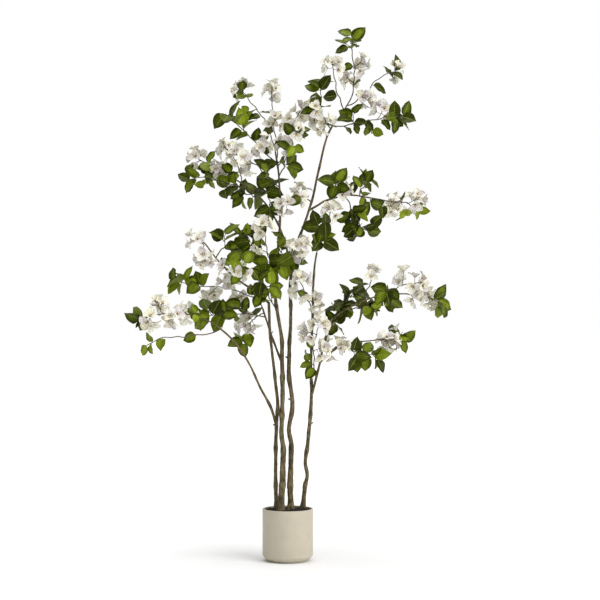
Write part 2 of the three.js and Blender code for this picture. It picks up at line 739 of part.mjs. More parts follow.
// A three.js mesh of a manifold solid
function meshOf(name, solid, surface) {
  const made = solid.getMesh();
  const geometry = new THREE.BufferGeometry();
  geometry.setAttribute("position", new THREE.BufferAttribute(new Float32Array(made.vertProperties), 3));
  geometry.setIndex(new THREE.BufferAttribute(new Uint32Array(made.triVerts), 1));
  geometry.computeVertexNormals();
  const mesh = new THREE.Mesh(geometry, surface);
  mesh.name = name;
  return mesh;
}

function latheMesh(name, profile, surface) {
  const geometry = new THREE.LatheGeometry(profile.map(([r, z]) => new THREE.Vector2(r, z)), POT_SIDES);
  geometry.rotateX(Math.PI / 2);
  const mesh = new THREE.Mesh(geometry, surface);
  mesh.name = name;
  return mesh;
}

function potMesh() {
  const inner = POT_RADIUS - POT_WALL;
  const profile = [
    [0, 0],
    [POT_FOOT_RADIUS, 0],
    [POT_BEND_RADIUS, POT_BEND_HEIGHT],
    [POT_RADIUS, POT_EDGE_HEIGHT],
    [POT_RADIUS, POT_HEIGHT - POT_LIP],
    [POT_RADIUS - POT_LIP, POT_HEIGHT],
    [inner + POT_LIP, POT_HEIGHT],
    [inner, POT_HEIGHT - POT_LIP],
    [inner, POT_EDGE_HEIGHT + POT_FLOOR],
    [inner - POT_WALL, POT_FLOOR],
    [0, POT_FLOOR],
  ];
  return latheMesh("pot", profile, material(COLOURS.pot, 0.6));
}

function soilMesh() {
  const inner = POT_RADIUS - POT_WALL - GAP;
  const profile = [
    [0, POT_FLOOR + GAP],
    [inner - POT_WALL, POT_FLOOR + GAP],
    [inner, POT_EDGE_HEIGHT + POT_FLOOR + GAP],
    [inner, SOIL_TOP],
    [0, SOIL_TOP],
  ];
  return latheMesh("soil", profile, material(COLOURS.soil, 0.95));
}

function buildPlant() {
  const group = new THREE.Group();
  group.name = "potted_bougainvillea";
  group.add(potMesh(), soilMesh());

  const lines = {};
  const rooms = {};
  const taken = [];
  for (const [name, limb] of Object.entries(LIMBS)) {
    const line = limbLine(limb);
    lines[name] = line;
    rooms[name] = limbRoom(name, line);
    for (let i = 1; i < line.points.length; i += 1) {
      const radius = Math.max(line.radii[i - 1], line.radii[i]);
      const box = stretchBox(line.points[i - 1], line.points[i], radius);
      box.owner = name;
      taken.push(box);
    }
  }
  const bark = material(COLOURS.bark, 0.9);
  for (const name of Object.keys(LIMBS)) {
    group.add(meshOf(name, limbSolid(name, lines, rooms), bark));
  }

  const leaf = material(COLOURS.leaf, 0.7);
  const sprays = SPRAYS.map((row, number) => growStem(row, number, lines, taken));
  for (const spray of sprays) {
    growTwigs(spray, taken);
    group.add(meshOf(`spray_${spray.name}`, spraySolid(spray, rooms), leaf));
  }
  return group;
}

export default buildPlant();
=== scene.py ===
import json
import math

import bpy
import numpy as np
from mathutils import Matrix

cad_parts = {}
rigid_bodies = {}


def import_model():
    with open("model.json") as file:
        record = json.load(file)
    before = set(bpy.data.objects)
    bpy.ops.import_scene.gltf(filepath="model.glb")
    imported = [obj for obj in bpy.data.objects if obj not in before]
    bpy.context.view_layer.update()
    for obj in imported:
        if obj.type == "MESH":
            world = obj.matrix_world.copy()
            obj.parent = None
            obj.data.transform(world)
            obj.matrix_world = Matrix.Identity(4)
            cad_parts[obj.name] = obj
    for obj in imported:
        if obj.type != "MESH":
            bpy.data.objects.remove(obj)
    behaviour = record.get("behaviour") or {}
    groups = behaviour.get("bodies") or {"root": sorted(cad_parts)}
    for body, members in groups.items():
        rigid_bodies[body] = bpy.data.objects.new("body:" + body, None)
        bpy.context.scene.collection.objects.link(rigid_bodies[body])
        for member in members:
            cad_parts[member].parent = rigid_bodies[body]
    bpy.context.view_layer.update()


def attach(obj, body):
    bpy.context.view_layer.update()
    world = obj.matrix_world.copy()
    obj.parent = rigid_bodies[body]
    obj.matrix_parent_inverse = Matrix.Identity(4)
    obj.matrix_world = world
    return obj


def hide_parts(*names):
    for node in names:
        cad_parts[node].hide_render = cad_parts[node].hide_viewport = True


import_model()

# The growing rule works in millimetres, and the meshes are made in metres
MM = 0.001
GAP = 0.3
SOIL_TOP = 169.0
UP = np.array([0.0, 0.0, 1.0])
RIGHT = np.array([1.0, 0.0, 0.0])
FULL_TURN = 2.0 * math.pi
GOLDEN_ANGLE = math.radians(137.5)

# Camera: level, in front of the plant, at the height of the picture's middle
CAMERA_PLACE = (0.041, -5.5, 0.870)
CAMERA_LENS = 98.8
CAMERA_SENSOR = 36.0
CAMERA_CLIP = 200.0

# Stage: strength of the white surroundings as a light, and each sun's name, direction, strength and softness
WORLD_LIGHT = 0.42
LAMP_DISTANCE = 4.0
SUNS = [
    ("key_light", (0.85, -0.75, 0.6), 1.9, 50.0),
    ("top_light", (0.0, 0.0, 1.0), 1.8, 46.0),
]
FLOOR_SIZE = 60.0
FLOOR_COLOUR = (0.91, 0.91, 0.91, 1.0)

# Pot
POT_RADIUS = 84.5
POT_HEIGHT = 174.0
POT_FOOT_RADIUS = 61.0
POT_EDGE_HEIGHT = 21.0
POT_EDGE_ROUND = 0.5
POT_WALL = 6.0
POT_FLOOR = 9.0
POT_LIP = 1.5
POT_LIP_EDGE = 2.0
POT_SIDES = 128
# Rings of points under the pot and up its wall, which keep its shading even
POT_BASE_RADII = (POT_FOOT_RADIUS * 0.6, POT_FOOT_RADIUS - 1)
POT_WALL_HEIGHTS = (70.0, 120.0)
POT_EDGE_POINTS = 14
POT_LIP_POINTS = 6
POT_CREASE_HEIGHT = 24.0
POT_CREASE_HALF = 1.2
POT_CREASE_DEPTH = 0.5
# A turned shape starts and ends this near to its axis
AXIS_RADIUS = 0.01

# Grit on the filling
SOIL_SEED = 31
SOIL_SINK = 1.0
SOIL_RINGS = 22
SOIL_FIRST_RING = 4.0
SOIL_SIDES = 72
SOIL_ROUGHNESS = (-1.4, 0.6)
GRIT_COUNT = 420
GRIT_RADIUS = (1.6, 3.8)
GRIT_STRETCH = (0.7, 1.2)
GRIT_DENTS = (0.85, 1.15)
GRIT_SINK = (0.5, 1.8)
GRIT_EDGE = 3.0
GRIT_RINGS = 5
GRIT_SIDES = 7
GRIT_POLE = 0.08
GRIT_MIX = [0, 0, 1, 2, 2]

# Limbs: a route is a list of points from the root to the tip, in mm
LIMB_STEP = 40
LIMB_TAPER = 0.8
ROUTE_FINE = 12
ROOT_DEPTH = 10
FLARE_HEIGHT = 34
FLARE_GAIN = 0.55
KNOB_GAIN = 0.22
KNOB_EVERY = 3
KNOB_LENGTH = 0.35
SWELLING_GAIN = (-0.05, 0.08)
SWELLING_LENGTH = 0.2
SWELLING_SHIFT = (-0.4, 0.4)

# Bark: each slanted ridge has its waves round the limb, its half pitch and its gain. A limb goes on by a
# share of a step below its root and past its tip.
BARK_SEED = 700
BARK_STEP = 4.0
BARK_GAIN = 1.1
BARK_SIDES = 16
BARK_RIDGES = [(2, 190.0, 0.07), (3, 90.0, 0.06), (5, 60.0, 0.05), (4, 33.0, 0.035), (1, 47.0, 0.05)]
BARK_ROUGHNESS = 0.028
LIMB_SINK = 0.6
LIMB_SINK_RADIUS = 0.98
LIMB_TIP = 0.2
LIMB_TIP_RADIUS = 0.05
STEM_SINK = 1.5
FLARE_CURVE = 1.5

# Stubs: the profile of a short cut-off twig, as shares of its length and of the limb's radius
STUB_LENGTH = 9
STUB_LEAN = 1.05
STUB_TURN = 1.2
STUB_SIDES = 10
STUB_PLACES = np.array([0.0, 0.45, 0.7, 0.9, 0.97, 0.975])
STUB_RADII = np.array([0.72, 0.6, 0.46, 0.44, 0.36, 0.02])

LIMBS = {
    "stem_a": {
        "route": [[-38, 25, SOIL_TOP], [-41, 26, 300], [-38, 21, 450], [-34, 18, 520], [-48, 8, 655],
                  [-59, 0, 760], [-63, -8, 860]],
        "radius": [6.6, 3.8],
        "stubs": [0.4, 0.86],
    },
    "bough_a": {
        "parent": "stem_a",
        "route": [[-38, 21, 450], [-58, 8, 514], [-90, -15, 575], [-120, -45, 645], [-145, -70, 690],
                  [-185, -100, 745], [-230, -130, 785]],
        "radius": [4.2, 2.6],
        "stubs": [0.36, 0.7],
    },
    "bough_a_high": {
        "parent": "stem_a",
        "route": [[-63, -8, 860], [-110, -25, 900], [-155, -50, 930], [-220, -85, 990], [-270, -110, 1055]],
        "radius": [3.4, 2.2],
        "stubs": [0.5],
    },
    "stem_b": {
        "route": [[-23, -6, SOIL_TOP], [-17, -6, 290], [-15, -8, 376], [-21, -8, 433], [-17, -8, 536],
                  [-19, -6, 660], [-20, -10, 740], [-40, -24, 872], [-35, -30, 996], [-25, -24, 1143],
                  [-29, -12, 1277], [-41, 0, 1364]],
        "radius": [9.4, 2.4],
        "stubs": [0.18, 0.31, 0.62],
    },
    "bough_b": {
        "parent": "stem_b",
        "route": [[-19, -6, 660], [-36, 20, 700], [-60, 50, 765], [-85, 85, 840]],
        "radius": [3.8, 2.6],
        "stubs": [0.55],
    },
    "stem_c": {
        "route": [[11, 20, SOIL_TOP], [8, 21, 273], [12, 22, 380], [4, 22, 434], [16, 22, 525], [4, 24, 612],
                  [5, 26, 700], [10, 30, 810], [9, 34, 927], [26, 34, 1038], [57, 30, 1129], [84, 26, 1215],
                  [104, 18, 1307], [129, 8, 1409], [149, 2, 1450], [178, -5, 1487], [206, -10, 1533]],
        "radius": [8.6, 2.2],
        "stubs": [0.15, 0.26, 0.36],
    },
    "bough_c_left": {
        "parent": "stem_c",
        "route": [[10, 34, 955], [0, 52, 1020], [-10, 66, 1070], [-35, 90, 1130], [-60, 110, 1175],
                  [-95, 130, 1220], [-135, 150, 1255], [-190, 170, 1290]],
        "radius": [3.4, 2.2],
        "stubs": [0.45],
    },
    "bough_c_right": {
        "parent": "stem_c",
        "route": [[73, 28, 1172], [100, 46, 1188], [125, 70, 1205], [170, 110, 1220], [215, 150, 1230],
                  [270, 185, 1225], [335, 215, 1215]],
        "radius": [3.2, 2.1],
        "stubs": [0.4],
    },
    "stem_d": {
        "route": [[51, 42, SOIL_TOP], [58, 43, 244], [65, 42, 281], [59, 42, 321], [67, 42, 385],
                  [74, 42, 466], [80, 41, 547], [78, 39, 628], [80, 36, 732], [84, 32, 836],
                  [86, 28, 927], [90, 24, 984], [97, 20, 1028]],
        "radius": [6.9, 2.9],
        "stubs": [0.14, 0.33],
    },
    "bough_d_right": {
        "parent": "stem_d",
        "route": [[80, 41, 547], [91, 30, 590], [105, 8, 650], [115, -18, 700], [130, -45, 755],
                  [145, -70, 805]],
        "radius": [4.1, 2.9],
        "stubs": [0.25, 0.6],
    },
    "bough_d_far": {
        "parent": "bough_d_right",
        "route": [[145, -70, 805], [190, -100, 838], [250, -138, 868], [315, -170, 888], [370, -195, 890]],
        "radius": [2.7, 2.0],
        "stubs": [0.5],
    },
    "bough_d_low": {
        "parent": "bough_d_right",
        "route": [[107, 4, 660], [140, 30, 690], [180, 70, 715], [220, 110, 725], [280, 150, 730]],
        "radius": [3.0, 2.1],
        "stubs": [0.5],
    },
}

# Sprays: name, the limb it leaves and the share of that limb's length where it leaves, the end of its stem
# in mm, how far its middle is lifted as a share of its length, and its pattern. Each letter of the pattern is
# one twig: L a rosette of leaves, Y young light leaves, F blooms, M blooms with leaves.
SPRAYS = [
    ["top_peak", "stem_c", 1, [214, -75, 1745], 0.02, "FFLL"],
    ["top_left", "stem_c", 0.975, [148, -110, 1640], 0.05, "F"],
    ["top_right", "stem_c", 0.988, [362, 60, 1640], 0.14, "FM"],
    ["top_low_right", "stem_c", 0.93, [382, -62, 1474], 0.05, "LYFLL"],
    ["top_rosette", "stem_c", 0.9, [112, 96, 1606], 0.03, "FL"],
    ["top_low_left", "stem_c", 0.92, [88, -70, 1503], 0.05, "FM"],
    ["ul_peak", "stem_b", 1, [-155, 30, 1572], 0.06, "FYM"],
    ["ul_left", "stem_b", 0.97, [-204, -120, 1478], 0.04, "FLL"],
    ["ul_right", "stem_b", 0.98, [-55, 130, 1590], 0.04, "F"],
    ["ul_mid", "stem_b", 0.96, [40, -20, 1496], 0.25, "FFF"],
    ["ul_hang", "stem_b", 0.93, [25, -150, 1422], 0.05, "LYM"],
    ["ul_front", "stem_b", 0.9, [-165, -110, 1345], 0.08, "LLFFF"],
    ["lt_end", "bough_c_left", 1, [-320, 215, 1365], 0.05, "FLLLF"],
    ["lt_up", "bough_c_left", 0.92, [-219, 270, 1402], 0.08, "LFFF"],
    ["lt_low", "bough_c_left", 0.86, [-333, 120, 1279], 0.14, "LYL"],
    ["lt_hang", "bough_c_left", 0.72, [-180, 260, 1235], 0.12, "LLL"],
    ["lt_in", "bough_c_left", 0.55, [-71, -12, 1243], 0.08, "LLL"],
    ["ur_end", "bough_c_right", 1, [459, 285, 1186], 0.1, "FYFFY"],
    ["ur_far", "bough_c_right", 0.85, [360, 210, 1195], -0.1, "LF"],
    ["ur_up", "bough_c_right", 0.7, [280, 290, 1299], 0.05, "YLL"],
    ["ur_low", "bough_c_right", 0.5, [265, 90, 1106], -0.12, "LLLLLL"],
    ["ur_in", "bough_c_right", 0.3, [160, -50, 1262], 0.06, "FL"],
    ["ur_d", "stem_d", 1, [145, -130, 1165], 0.06, "LLLF"],
    ["ur_mid", "stem_c", 0.74, [-14, -60, 1180], 0.2, "FFF"],
    ["cm_a1", "bough_a_high", 1, [-270, -150, 1006], 0.08, "FFF"],
    ["cm_a2", "bough_a_high", 0.8, [-110, -30, 1088], 0.05, "LLLLL"],
    ["cm_a3", "bough_a_high", 0.6, [-152, -190, 960], 0.08, "LFFLM"],
    ["cm_b1", "bough_b", 1, [-392, 170, 938], 0.02, "FFFLLL"],
    ["cm_b2", "bough_b", 0.85, [-290, 30, 806], 0.1, "LLLLL"],
    ["cm_b3", "bough_b", 0.92, [-159, 190, 724], 0.14, "FFL"],
    ["cm_s", "stem_b", 0.66, [-79, -140, 1111], 0.06, "LLFFF"],
    ["cm_r", "stem_b", 0.66, [41, -160, 1048], 0.08, "LFLF"],
    ["cm_mid", "stem_c", 0.56, [-30, -120, 1045], 0.08, "LLL"],
    ["cm_low", "stem_b", 0.56, [-95, -160, 935], 0.1, "YLLLL"],
    ["cm_big", "stem_d", 0.78, [40, -90, 940], 0.08, "FFF"],
    ["ll_1", "bough_a", 1, [-474, -185, 806], 0.14, "YFFFFL"],
    ["ll_2", "bough_a", 0.96, [-446, -250, 726], 0.06, "Y"],
    ["rm_1", "bough_d_right", 0.8, [216, 20, 905], 0.06, "LLLLL"],
    ["rm_far", "bough_d_far", 1, [498, -230, 858], 0.14, "FFL"],
    ["rm_up", "bough_d_far", 0.75, [415, -280, 925], 0.06, "LFF"],
    ["rm_low", "bough_d_far", 0.25, [335, -120, 872], 0.06, "LYLYL"],
    ["rm_3", "bough_d_far", 0.5, [277, -120, 952], 0.06, "LF"],
    ["rl_1", "bough_d_low", 1, [392, 220, 731], 0.08, "FFFL"],
    ["rl_2", "bough_d_low", 0.5, [305, 130, 672], 0.1, "LLL"],
    ["rl_4", "bough_d_right", 0.25, [105, -130, 795], 0.1, "YFFF"],
    ["rl_5", "bough_d_low", 0.2, [172, -40, 720], 0.1, "FFF"],
]

# How a spray grows. Its stem leaves the limb at a slant, sways and arches, and turns until it is clear.
SEED = 4177
SEED_STEP = 97
STEM_RADIUS = 1.7
STEM_TIP_RADIUS = 1.1
STEM_STEP = 52
STEM_TRIES = 16
STEM_SLANT = 0.45
STEM_SWAY = 0.07
STEM_SWAY_TURN = 0.8
STEM_BENDS = [0.3, 0.68]
STEM_ARCH_EVERY = 8
STEM_ARCH_GAIN = 0.1
TWIG_RADIUS = 1.0
TWIG_LENGTH = [22, 44]
TWIG_LEAN = [0.75, 1.15]
TWIG_TRIES = 12
TWIG_TURN = 0.55
TWIG_CLEAR = 6
FIRST_TWIG = 0.28
CLUSTER_SEEDS = 1e6
CLUSTER_TRIES = 5
CLUSTER_TURN = 0.5
# How many random shares a cluster draws, three for each leaf, and where those of its blooms begin
CLUSTER_SHARES = 24
FIRST_BLOOM_SHARE = 12
# What each letter of a spray's pattern grows at one place: L grown leaves, Y young leaves, F blooms, M both
CLUSTERS = {
    "L": {"leaves": 4, "blooms": 0, "leaf_length": [50, 66]},
    "Y": {"leaves": 3, "blooms": 0, "leaf_length": [34, 46]},
    "F": {"leaves": 0, "blooms": 4, "leaf_length": [0, 0]},
    "M": {"leaves": 3, "blooms": 2, "leaf_length": [46, 60]},
}

LEAF_WIDTH = 0.68
LEAF_LEAN = [0.95, 1.4]
LEAF_ROLL = 0.5
LEAF_DROOP = 0.1
SHORTER = 0.8
BLOOM_RADIUS = [26, 32]
BLOOM_DEPTH = 17
BLOOM_STALK = [13, 19]
BLOOM_LEAN = [1.3, 1.45]
BLOOM_PHASE = 0.4
BLOOM_TURN = 2
BLOOM_SPACING = 4
END_BLOOM_STALK = 3

# Boxes that keep the growth apart, as shares of a leaf's length and of a bloom's depth and radius
SPACE = 0.8
LEAF_BOX_MIDDLE = 0.58
LEAF_BOX_HALF = 0.42
LEAF_BOX_DEPTH = 2.5
BLOOM_BOX_MIDDLE = 0.55
BLOOM_BOX_HALF = 0.5
BLOOM_BOX_WIDTH = 0.82
ROOM_SIZE = 8000

# The finer growth between the twigs, within the reach of the same sprays
CROWN_SEED = 905
TURN_SEED = 4906
SIDE_SEED = 7906
FINE_SEED_STEP = 53
FINE_TRIES = 4
SIDE_LEAF_SPACING = 56
OWN_SIDE_LEAF_SPACING = {
    "ll_1": 150, "ll_2": 110, "cm_b2": 150, "cm_s": 26, "ul_front": 26, "ul_left": 30,
    "lt_up": 30, "top_low_right": 30, "ur_end": 24, "rm_1": 26, "rm_low": 30,
}
SIDE_LEAF_LENGTH = [38, 54]
SIDE_LEAF_LEAN = [0.85, 1.4]
SIDE_LEAF_TURN = 1.3
SIDE_LEAF_PHASE = 1
FIRST_SIDE_LEAF = 0.12
YOUNG_SIDE_LEAVES = 0.15
CROWN_BLOOMS = 2
CROWN_BLOOM_LEAN = [0.5, 1.0]
CROWN_BLOOM_RADIUS = [21, 28]
CROWN_BLOOM_STALK = [16, 24]
CROWN_BLOOM_SET_BACK = 2.0
CROWN_PHASE = 0.9
CROWN_TURN = 0.5

# The lines of stems and twigs, with small bends of several wave counts and gains
LINE_SEED = 3100
STEM_STEPS = 26
TWIG_STEPS = 7
BENDS = [(2.0, 0.5), (4.5, 0.35), (8.0, 0.15)]
BENDS_START = 0.1
BENDS_STRETCH = (0.7, 1.2)
BENDS_FADE = 5.0
TWIG_CROOK = 5.0
TWIG_LEAVES_AT = 0.22
TWIG_ENDS_AT = 0.35
TWIG_SEED = 88
TWIG_GAIN = 1.25
TWIG_RADII = (1.55, 1.05)
TWIG_THICKNESS = (0.93, 1.1)
PETIOLE = 6.0
STALK_RADII = np.array([1.05, 0.9, 0.85, 0.9])
STALK_SAG = 0.6
STEM_SIDES = 7
TWIG_SIDES = 5
STALK_SIDES = 4
# The first place on a line where a petiole may stand, as a share of the line's first step
LINE_START = 0.2
# How far a stalk runs into its bloom and a petiole into its leaf
STALK_INTO = 1.0
PETIOLE_INTO = 1.5

# Shape of a leaf: half widths as shares of the widest, at shares of its length from the base
LEAF_SEED = 512
LEAF_STATIONS = np.array([0.0, 0.05, 0.15, 0.3, 0.5, 0.7, 0.85, 0.94, 1.0])
LEAF_HALF_WIDTHS = np.array([0.14, 0.56, 0.9, 1.0, 0.96, 0.75, 0.41, 0.13, 0.01])
LEAF_COLUMNS = np.array([-1.0, -0.52, -0.045, 0.045, 0.52, 1.0])
# The rows of a leaf's faces slant towards its tip, and each second one is narrow, as a side vein
LEAF_ROWS = np.array([0.0, 0.05, 0.13, 0.148, 0.26, 0.278, 0.4, 0.418, 0.54, 0.558, 0.68, 0.698, 0.84, 1.0])
LEAF_SLANT = 0.55
VEIN_ROWS = [2, 4, 6, 8, 10]
BLADE_SHARE = 0.92
BLADE_WIDTH = 0.8
LEAF_SET_BACK = 11.0
LEAF_LIFT = [-0.3, 0.7]
LEAF_SWING = [-0.35, 0.35]
LEAF_TWIST = [-0.55, 0.55]
LEAF_FRONT = np.array([0.0, -0.94, 0.34])
LEAF_TURN = 0.58
LEAF_FLATTEN = 0.6
LEAF_FOLD = 0.3
LEAF_ARCH = 0.16
LEAF_WAVE = 1.3
LEAF_VARIES = {
    "fold": (0.3, 1.6), "arch": (-0.2, 1.5), "turn": (-0.35, 0.35), "wave": (0.4, 1.4),
    "wave start": (0.0, FULL_TURN), "sideways bend": (-0.05, 0.05),
}
LEAF_WAVES = 13.0
LEAF_WAVE_SLANT = 1.5
# How much flatter the fold gets by the tip, and how much shorter an arched leaf looks
LEAF_UNFOLD = 0.3
LEAF_SHORTENS = 0.08
LEAF_THICKNESS = 0.5
LEAF_EDGE_THICKNESS = 0.25
# How common the deep, middle and bright greens are, by the first letters of a spray's name
LEAF_TONES = {
    "cm": [0.2, 0.42, 0.38],
    "ll": [0.25, 0.4, 0.35],
    "lt": [0.4, 0.42, 0.18],
    "ul": [0.5, 0.4, 0.1],
    "rl": [0.4, 0.42, 0.18],
    "top": [0.5, 0.42, 0.08],
    "ur": [0.55, 0.38, 0.07],
    "rm": [0.58, 0.34, 0.08],
}
YOUNG_TONES = [0.5, 0.5]
# Share of leaves with a painted highlight: the middle one green lighter
PAINTED_HIGHLIGHT_MIDDLE = 0.45
VEINED_SHARE = 0.7
# Share of leaves with painted shade: the outer columns one green darker
PAINTED_SHADE_EDGE_SHARE = 0.6

# Shape of a bract, and of the small tubular flowers between the bracts
BLOOM_SEED = 2024
BRACT_COUNT = 3
BRACT_STATIONS = np.array([0.0, 0.12, 0.3, 0.5, 0.7, 0.87, 1.0])
BRACT_HALF_WIDTHS = np.array([0.1, 0.5, 0.86, 1.0, 0.88, 0.5, 0.03])
BRACT_COLUMNS = np.array([-1.0, -0.6, -0.5, -0.05, 0.05, 0.5, 0.6, 1.0])
BRACT_VEINS = [1, 3, 5]
STAIN_ROWS = 2
STREAK_ROWS = 5
BRACT_WIDTH = 0.54
# A bract spreads slowly at first by a share and a power, rises in a rounded curve and draws in its sides
BRACT_SPREAD = 0.75
BRACT_SPREAD_POWER = 1.35
BRACT_ROUNDING = 0.45
BRACT_PINCH = 0.08
# Crinkles and edge waves of a bract: their depths in mm, their waves along and across it, how many of the
# edge's waves come with its opening, and how soon each grows
BRACT_CRINKLE = 1.5
BRACT_WAVES = (11.0, 2.0)
BRACT_CROSS_WAVES = (3.0, 5.0)
BRACT_EDGE_WAVE = 1.8
BRACT_EDGE_WAVES = 15.0
BRACT_OPENING_WAVES = 0.2
CRINKLE_GROWTH = 3.0
EDGE_GROWTH = 2.0
BRACT_VARIES = {
    "opening": (0.86, 1.06), "depth": (0.75, 1.12), "turn": (-0.25, 0.25),
    "wave start": (0.0, FULL_TURN), "cross wave start": (0.0, FULL_TURN), "curl": (-2.0, 3.0),
}
BRACT_CUP = 0.3
BRACT_CUP_PULL = 0.35
STREAK_SHARE = 0.8
FLOWER_SEED = 77
FLOWER_COUNT = 3
FLOWER_TURN = 1.0
FLOWER_LENGTH = [9, 14]
FLOWER_LEAN = [0.15, 0.4]
FLOWER_PLACES = np.array([0.0, 0.3, 0.75, 0.93, 1.0, 1.001])
FLOWER_RADII = np.array([0.9, 1.5, 1.1, 1.5, 2.3, 0.1])
FLOWER_SIDES = 6
FLOWER_FLARE = 3

# Colours: a dark and a light screen colour, 0 to 255, that a surface is mottled with, and for the pot and the
# bark the plain colour that stands for both
NOISE_ROUGHNESS = 0.6
MOTTLE_ENDS = (0.35, 0.68)
POT_COLOURS = [(184, 176, 156), (190, 182, 162)]
POT_PLAIN = (187, 179, 159)
BARK_COLOURS = [(48, 40, 20), (126, 112, 76)]
BARK_PLAIN = (92, 78, 58)
GRIT_COLOURS = [
    ("soil_dark", (10, 6, 4), (28, 21, 16)),
    ("grit_grey", (34, 31, 30), (70, 66, 62)),
    ("grit_brown", (20, 14, 10), (48, 38, 28)),
]
TWIG_COLOURS = [
    ("twig_brown", (52, 42, 22), (104, 90, 56)),
    ("twig_green", (86, 88, 32), (134, 134, 66)),
]
# Leaves: each row ends with its roughness
LEAF_GLOSS = 0.25
LEAF_SHINE = (232, 238, 160)
DEEP, MIDDLE, BRIGHT, YOUNG, UNDER, RIB = range(6)
LEAF_COLOURS = [
    ("leaf_deep", (34, 42, 2), (54, 64, 5), 0.38),
    ("leaf_mid", (56, 68, 3), (80, 94, 8), 0.38),
    ("leaf_bright", (88, 104, 4), (112, 128, 12), 0.42),
    ("leaf_young", (118, 134, 22), (144, 158, 44), 0.5),
    ("leaf_under", (92, 104, 36), (118, 130, 60), 0.6),
    ("leaf_rib", (108, 118, 40), (134, 144, 66), 0.5),
]
BRACT_SHEEN = 0.15
WHITE, CREAM, LILAC_SHADE, BASE, STAIN, STREAK = range(6)
# How common the white, cream and grey-lilac bracts are; the grey-lilac is painted shade
BRACT_TONES = [0.52, 0.22, 0.26]
BRACT_COLOURS = [
    ("bract_white", (216, 214, 197), (250, 249, 238)),
    ("bract_cream", (212, 207, 178), (246, 243, 222)),
    ("bract_lilac_shade", (188, 181, 178), (236, 231, 227)),
    ("bract_base", (150, 138, 78), (204, 194, 140)),
    ("bract_stain", (96, 66, 38), (140, 108, 68)),
    ("bract_streak", (164, 150, 146), (206, 194, 186)),
]
FLOWER_COLOURS = [
    ("flower_rust", (110, 62, 34), (162, 108, 60)),
    ("flower_cream", (196, 178, 112), (236, 224, 172)),
]


def srgb(red, green, blue):
    """A screen colour, 0 to 255, as the linear colour that a shader takes"""
    shares = np.array([red, green, blue]) / 255.0
    linear = np.where(shares <= 0.04045, shares / 12.92, ((shares + 0.055) / 1.055) ** 2.4)
    return (*linear.tolist(), 1.0)


def seeded(seed):
    """Repeatable random numbers between 0 and 1, the same as the solids are grown from"""
    mask = 0xFFFFFFFF
    state = [seed & mask]

    def draw():
        state[0] = (state[0] + 0x6D2B79F5) & mask
        now = state[0]
        mixed = ((now ^ (now >> 15)) * (now | 1)) & mask
        mixed ^= (mixed + (((mixed ^ (mixed >> 7)) * (mixed | 61)) & mask)) & mask
        return ((mixed ^ (mixed >> 14)) & mask) / 4294967296.0

    return draw


def between(limits, share):
    return limits[0] + (limits[1] - limits[0]) * share


def unit(vector):
    return vector / math.sqrt(float(vector @ vector))


def square_to(axis, wanted):
    """A unit vector square to the axis, as near to the wanted one as can be"""
    side = wanted - axis * float(wanted @ axis)
    if float(side @ side) < 1e-6:
        side = RIGHT - axis * axis[0]
    return unit(side)


def leaned(axis, azimuth, angle):
    """The axis leaned over by an angle toward the direction at an azimuth round it"""
    side = square_to(axis, UP)
    across = np.cross(axis, side)
    tilt = math.sin(angle)
    return axis * math.cos(angle) + side * (tilt * math.cos(azimuth)) + across * (tilt * math.sin(azimuth))


# Limbs
def smooth_route(route, step):
    """Points along a smooth curve through a route, evenly spaced"""
    knots = np.array(route, float)
    last = len(knots) - 1
    slopes = [unit(knots[min(i + 1, last)] - knots[max(i - 1, 0)]) for i in range(last + 1)]
    fine = [knots[0]]
    t = np.arange(1, ROUTE_FINE + 1)[:, None] / ROUTE_FINE
    for i in range(last):
        span = np.linalg.norm(knots[i + 1] - knots[i])
        points = knots[i] * ((1 + 2 * t) * (1 - t) * (1 - t)) + knots[i + 1] * (t * t * (3 - 2 * t))
        points = points + slopes[i] * (span * t * (1 - t) * (1 - t))
        fine.extend(points - slopes[i + 1] * (span * t * t * (1 - t)))
    fine = np.array(fine)
    travelled = np.concatenate([[0.0], np.cumsum(np.linalg.norm(np.diff(fine, axis=0), axis=1))])
    count = max(2, int(math.floor(travelled[-1] / step + 0.5)))
    wanted = np.linspace(0.0, travelled[-1], count + 1)
    return np.stack([np.interp(wanted, travelled, fine[:, axis]) for axis in range(3)], axis=1)


def limb_line(limb):
    """The points and radii of one limb at the spacing that the sprays are placed by"""
    points = smooth_route(limb["route"], LIMB_STEP)
    rooted = "parent" not in limb
    if rooted:
        points[0, 2] -= ROOT_DEPTH
    last = len(points) - 1
    radii = []
    for i, point in enumerate(points):
        radius = between(limb["radius"], (i / last) ** LIMB_TAPER)
        if i % KNOB_EVERY == 2 and i < last:
            radius *= 1 + KNOB_GAIN
        height = point[2] - SOIL_TOP
        if rooted and height < FLARE_HEIGHT:
            radius *= 1 + FLARE_GAIN * (1 - height / FLARE_HEIGHT)
        radii.append(radius)
    return {"points": points, "radii": np.array(radii)}


def station_of(line, share):
    """Where a line is at a share of its length: point, direction and radius"""
    points, radii = line["points"], line["radii"]
    last = len(points) - 1
    place = min(share * last, last - 1e-6)
    i = int(math.floor(place))
    part = place - i
    return {
        "point": points[i] + (points[i + 1] - points[i]) * part,
        "along": unit(points[i + 1] - points[i]),
        "radius": radii[i] + (radii[i + 1] - radii[i]) * part,
    }


# Boxes round stretches of limb, twig, leaf or bloom, which keep the growth apart
class Box:
    def __init__(self, middle, axes, half, owner=""):
        self.middle = middle
        self.axes = np.array(axes)
        self.half = np.array(half, float)
        self.reach = math.sqrt(float(self.half @ self.half))
        self.owner = owner


def stretch_box(start, end, radius, owner=""):
    reach = end - start
    length = math.sqrt(float(reach @ reach))
    along = reach / length
    side = square_to(along, UP)
    axes = [along, side, np.cross(along, side)]
    return Box((start + end) * 0.5, axes, [length / 2 + radius, radius, radius], owner)


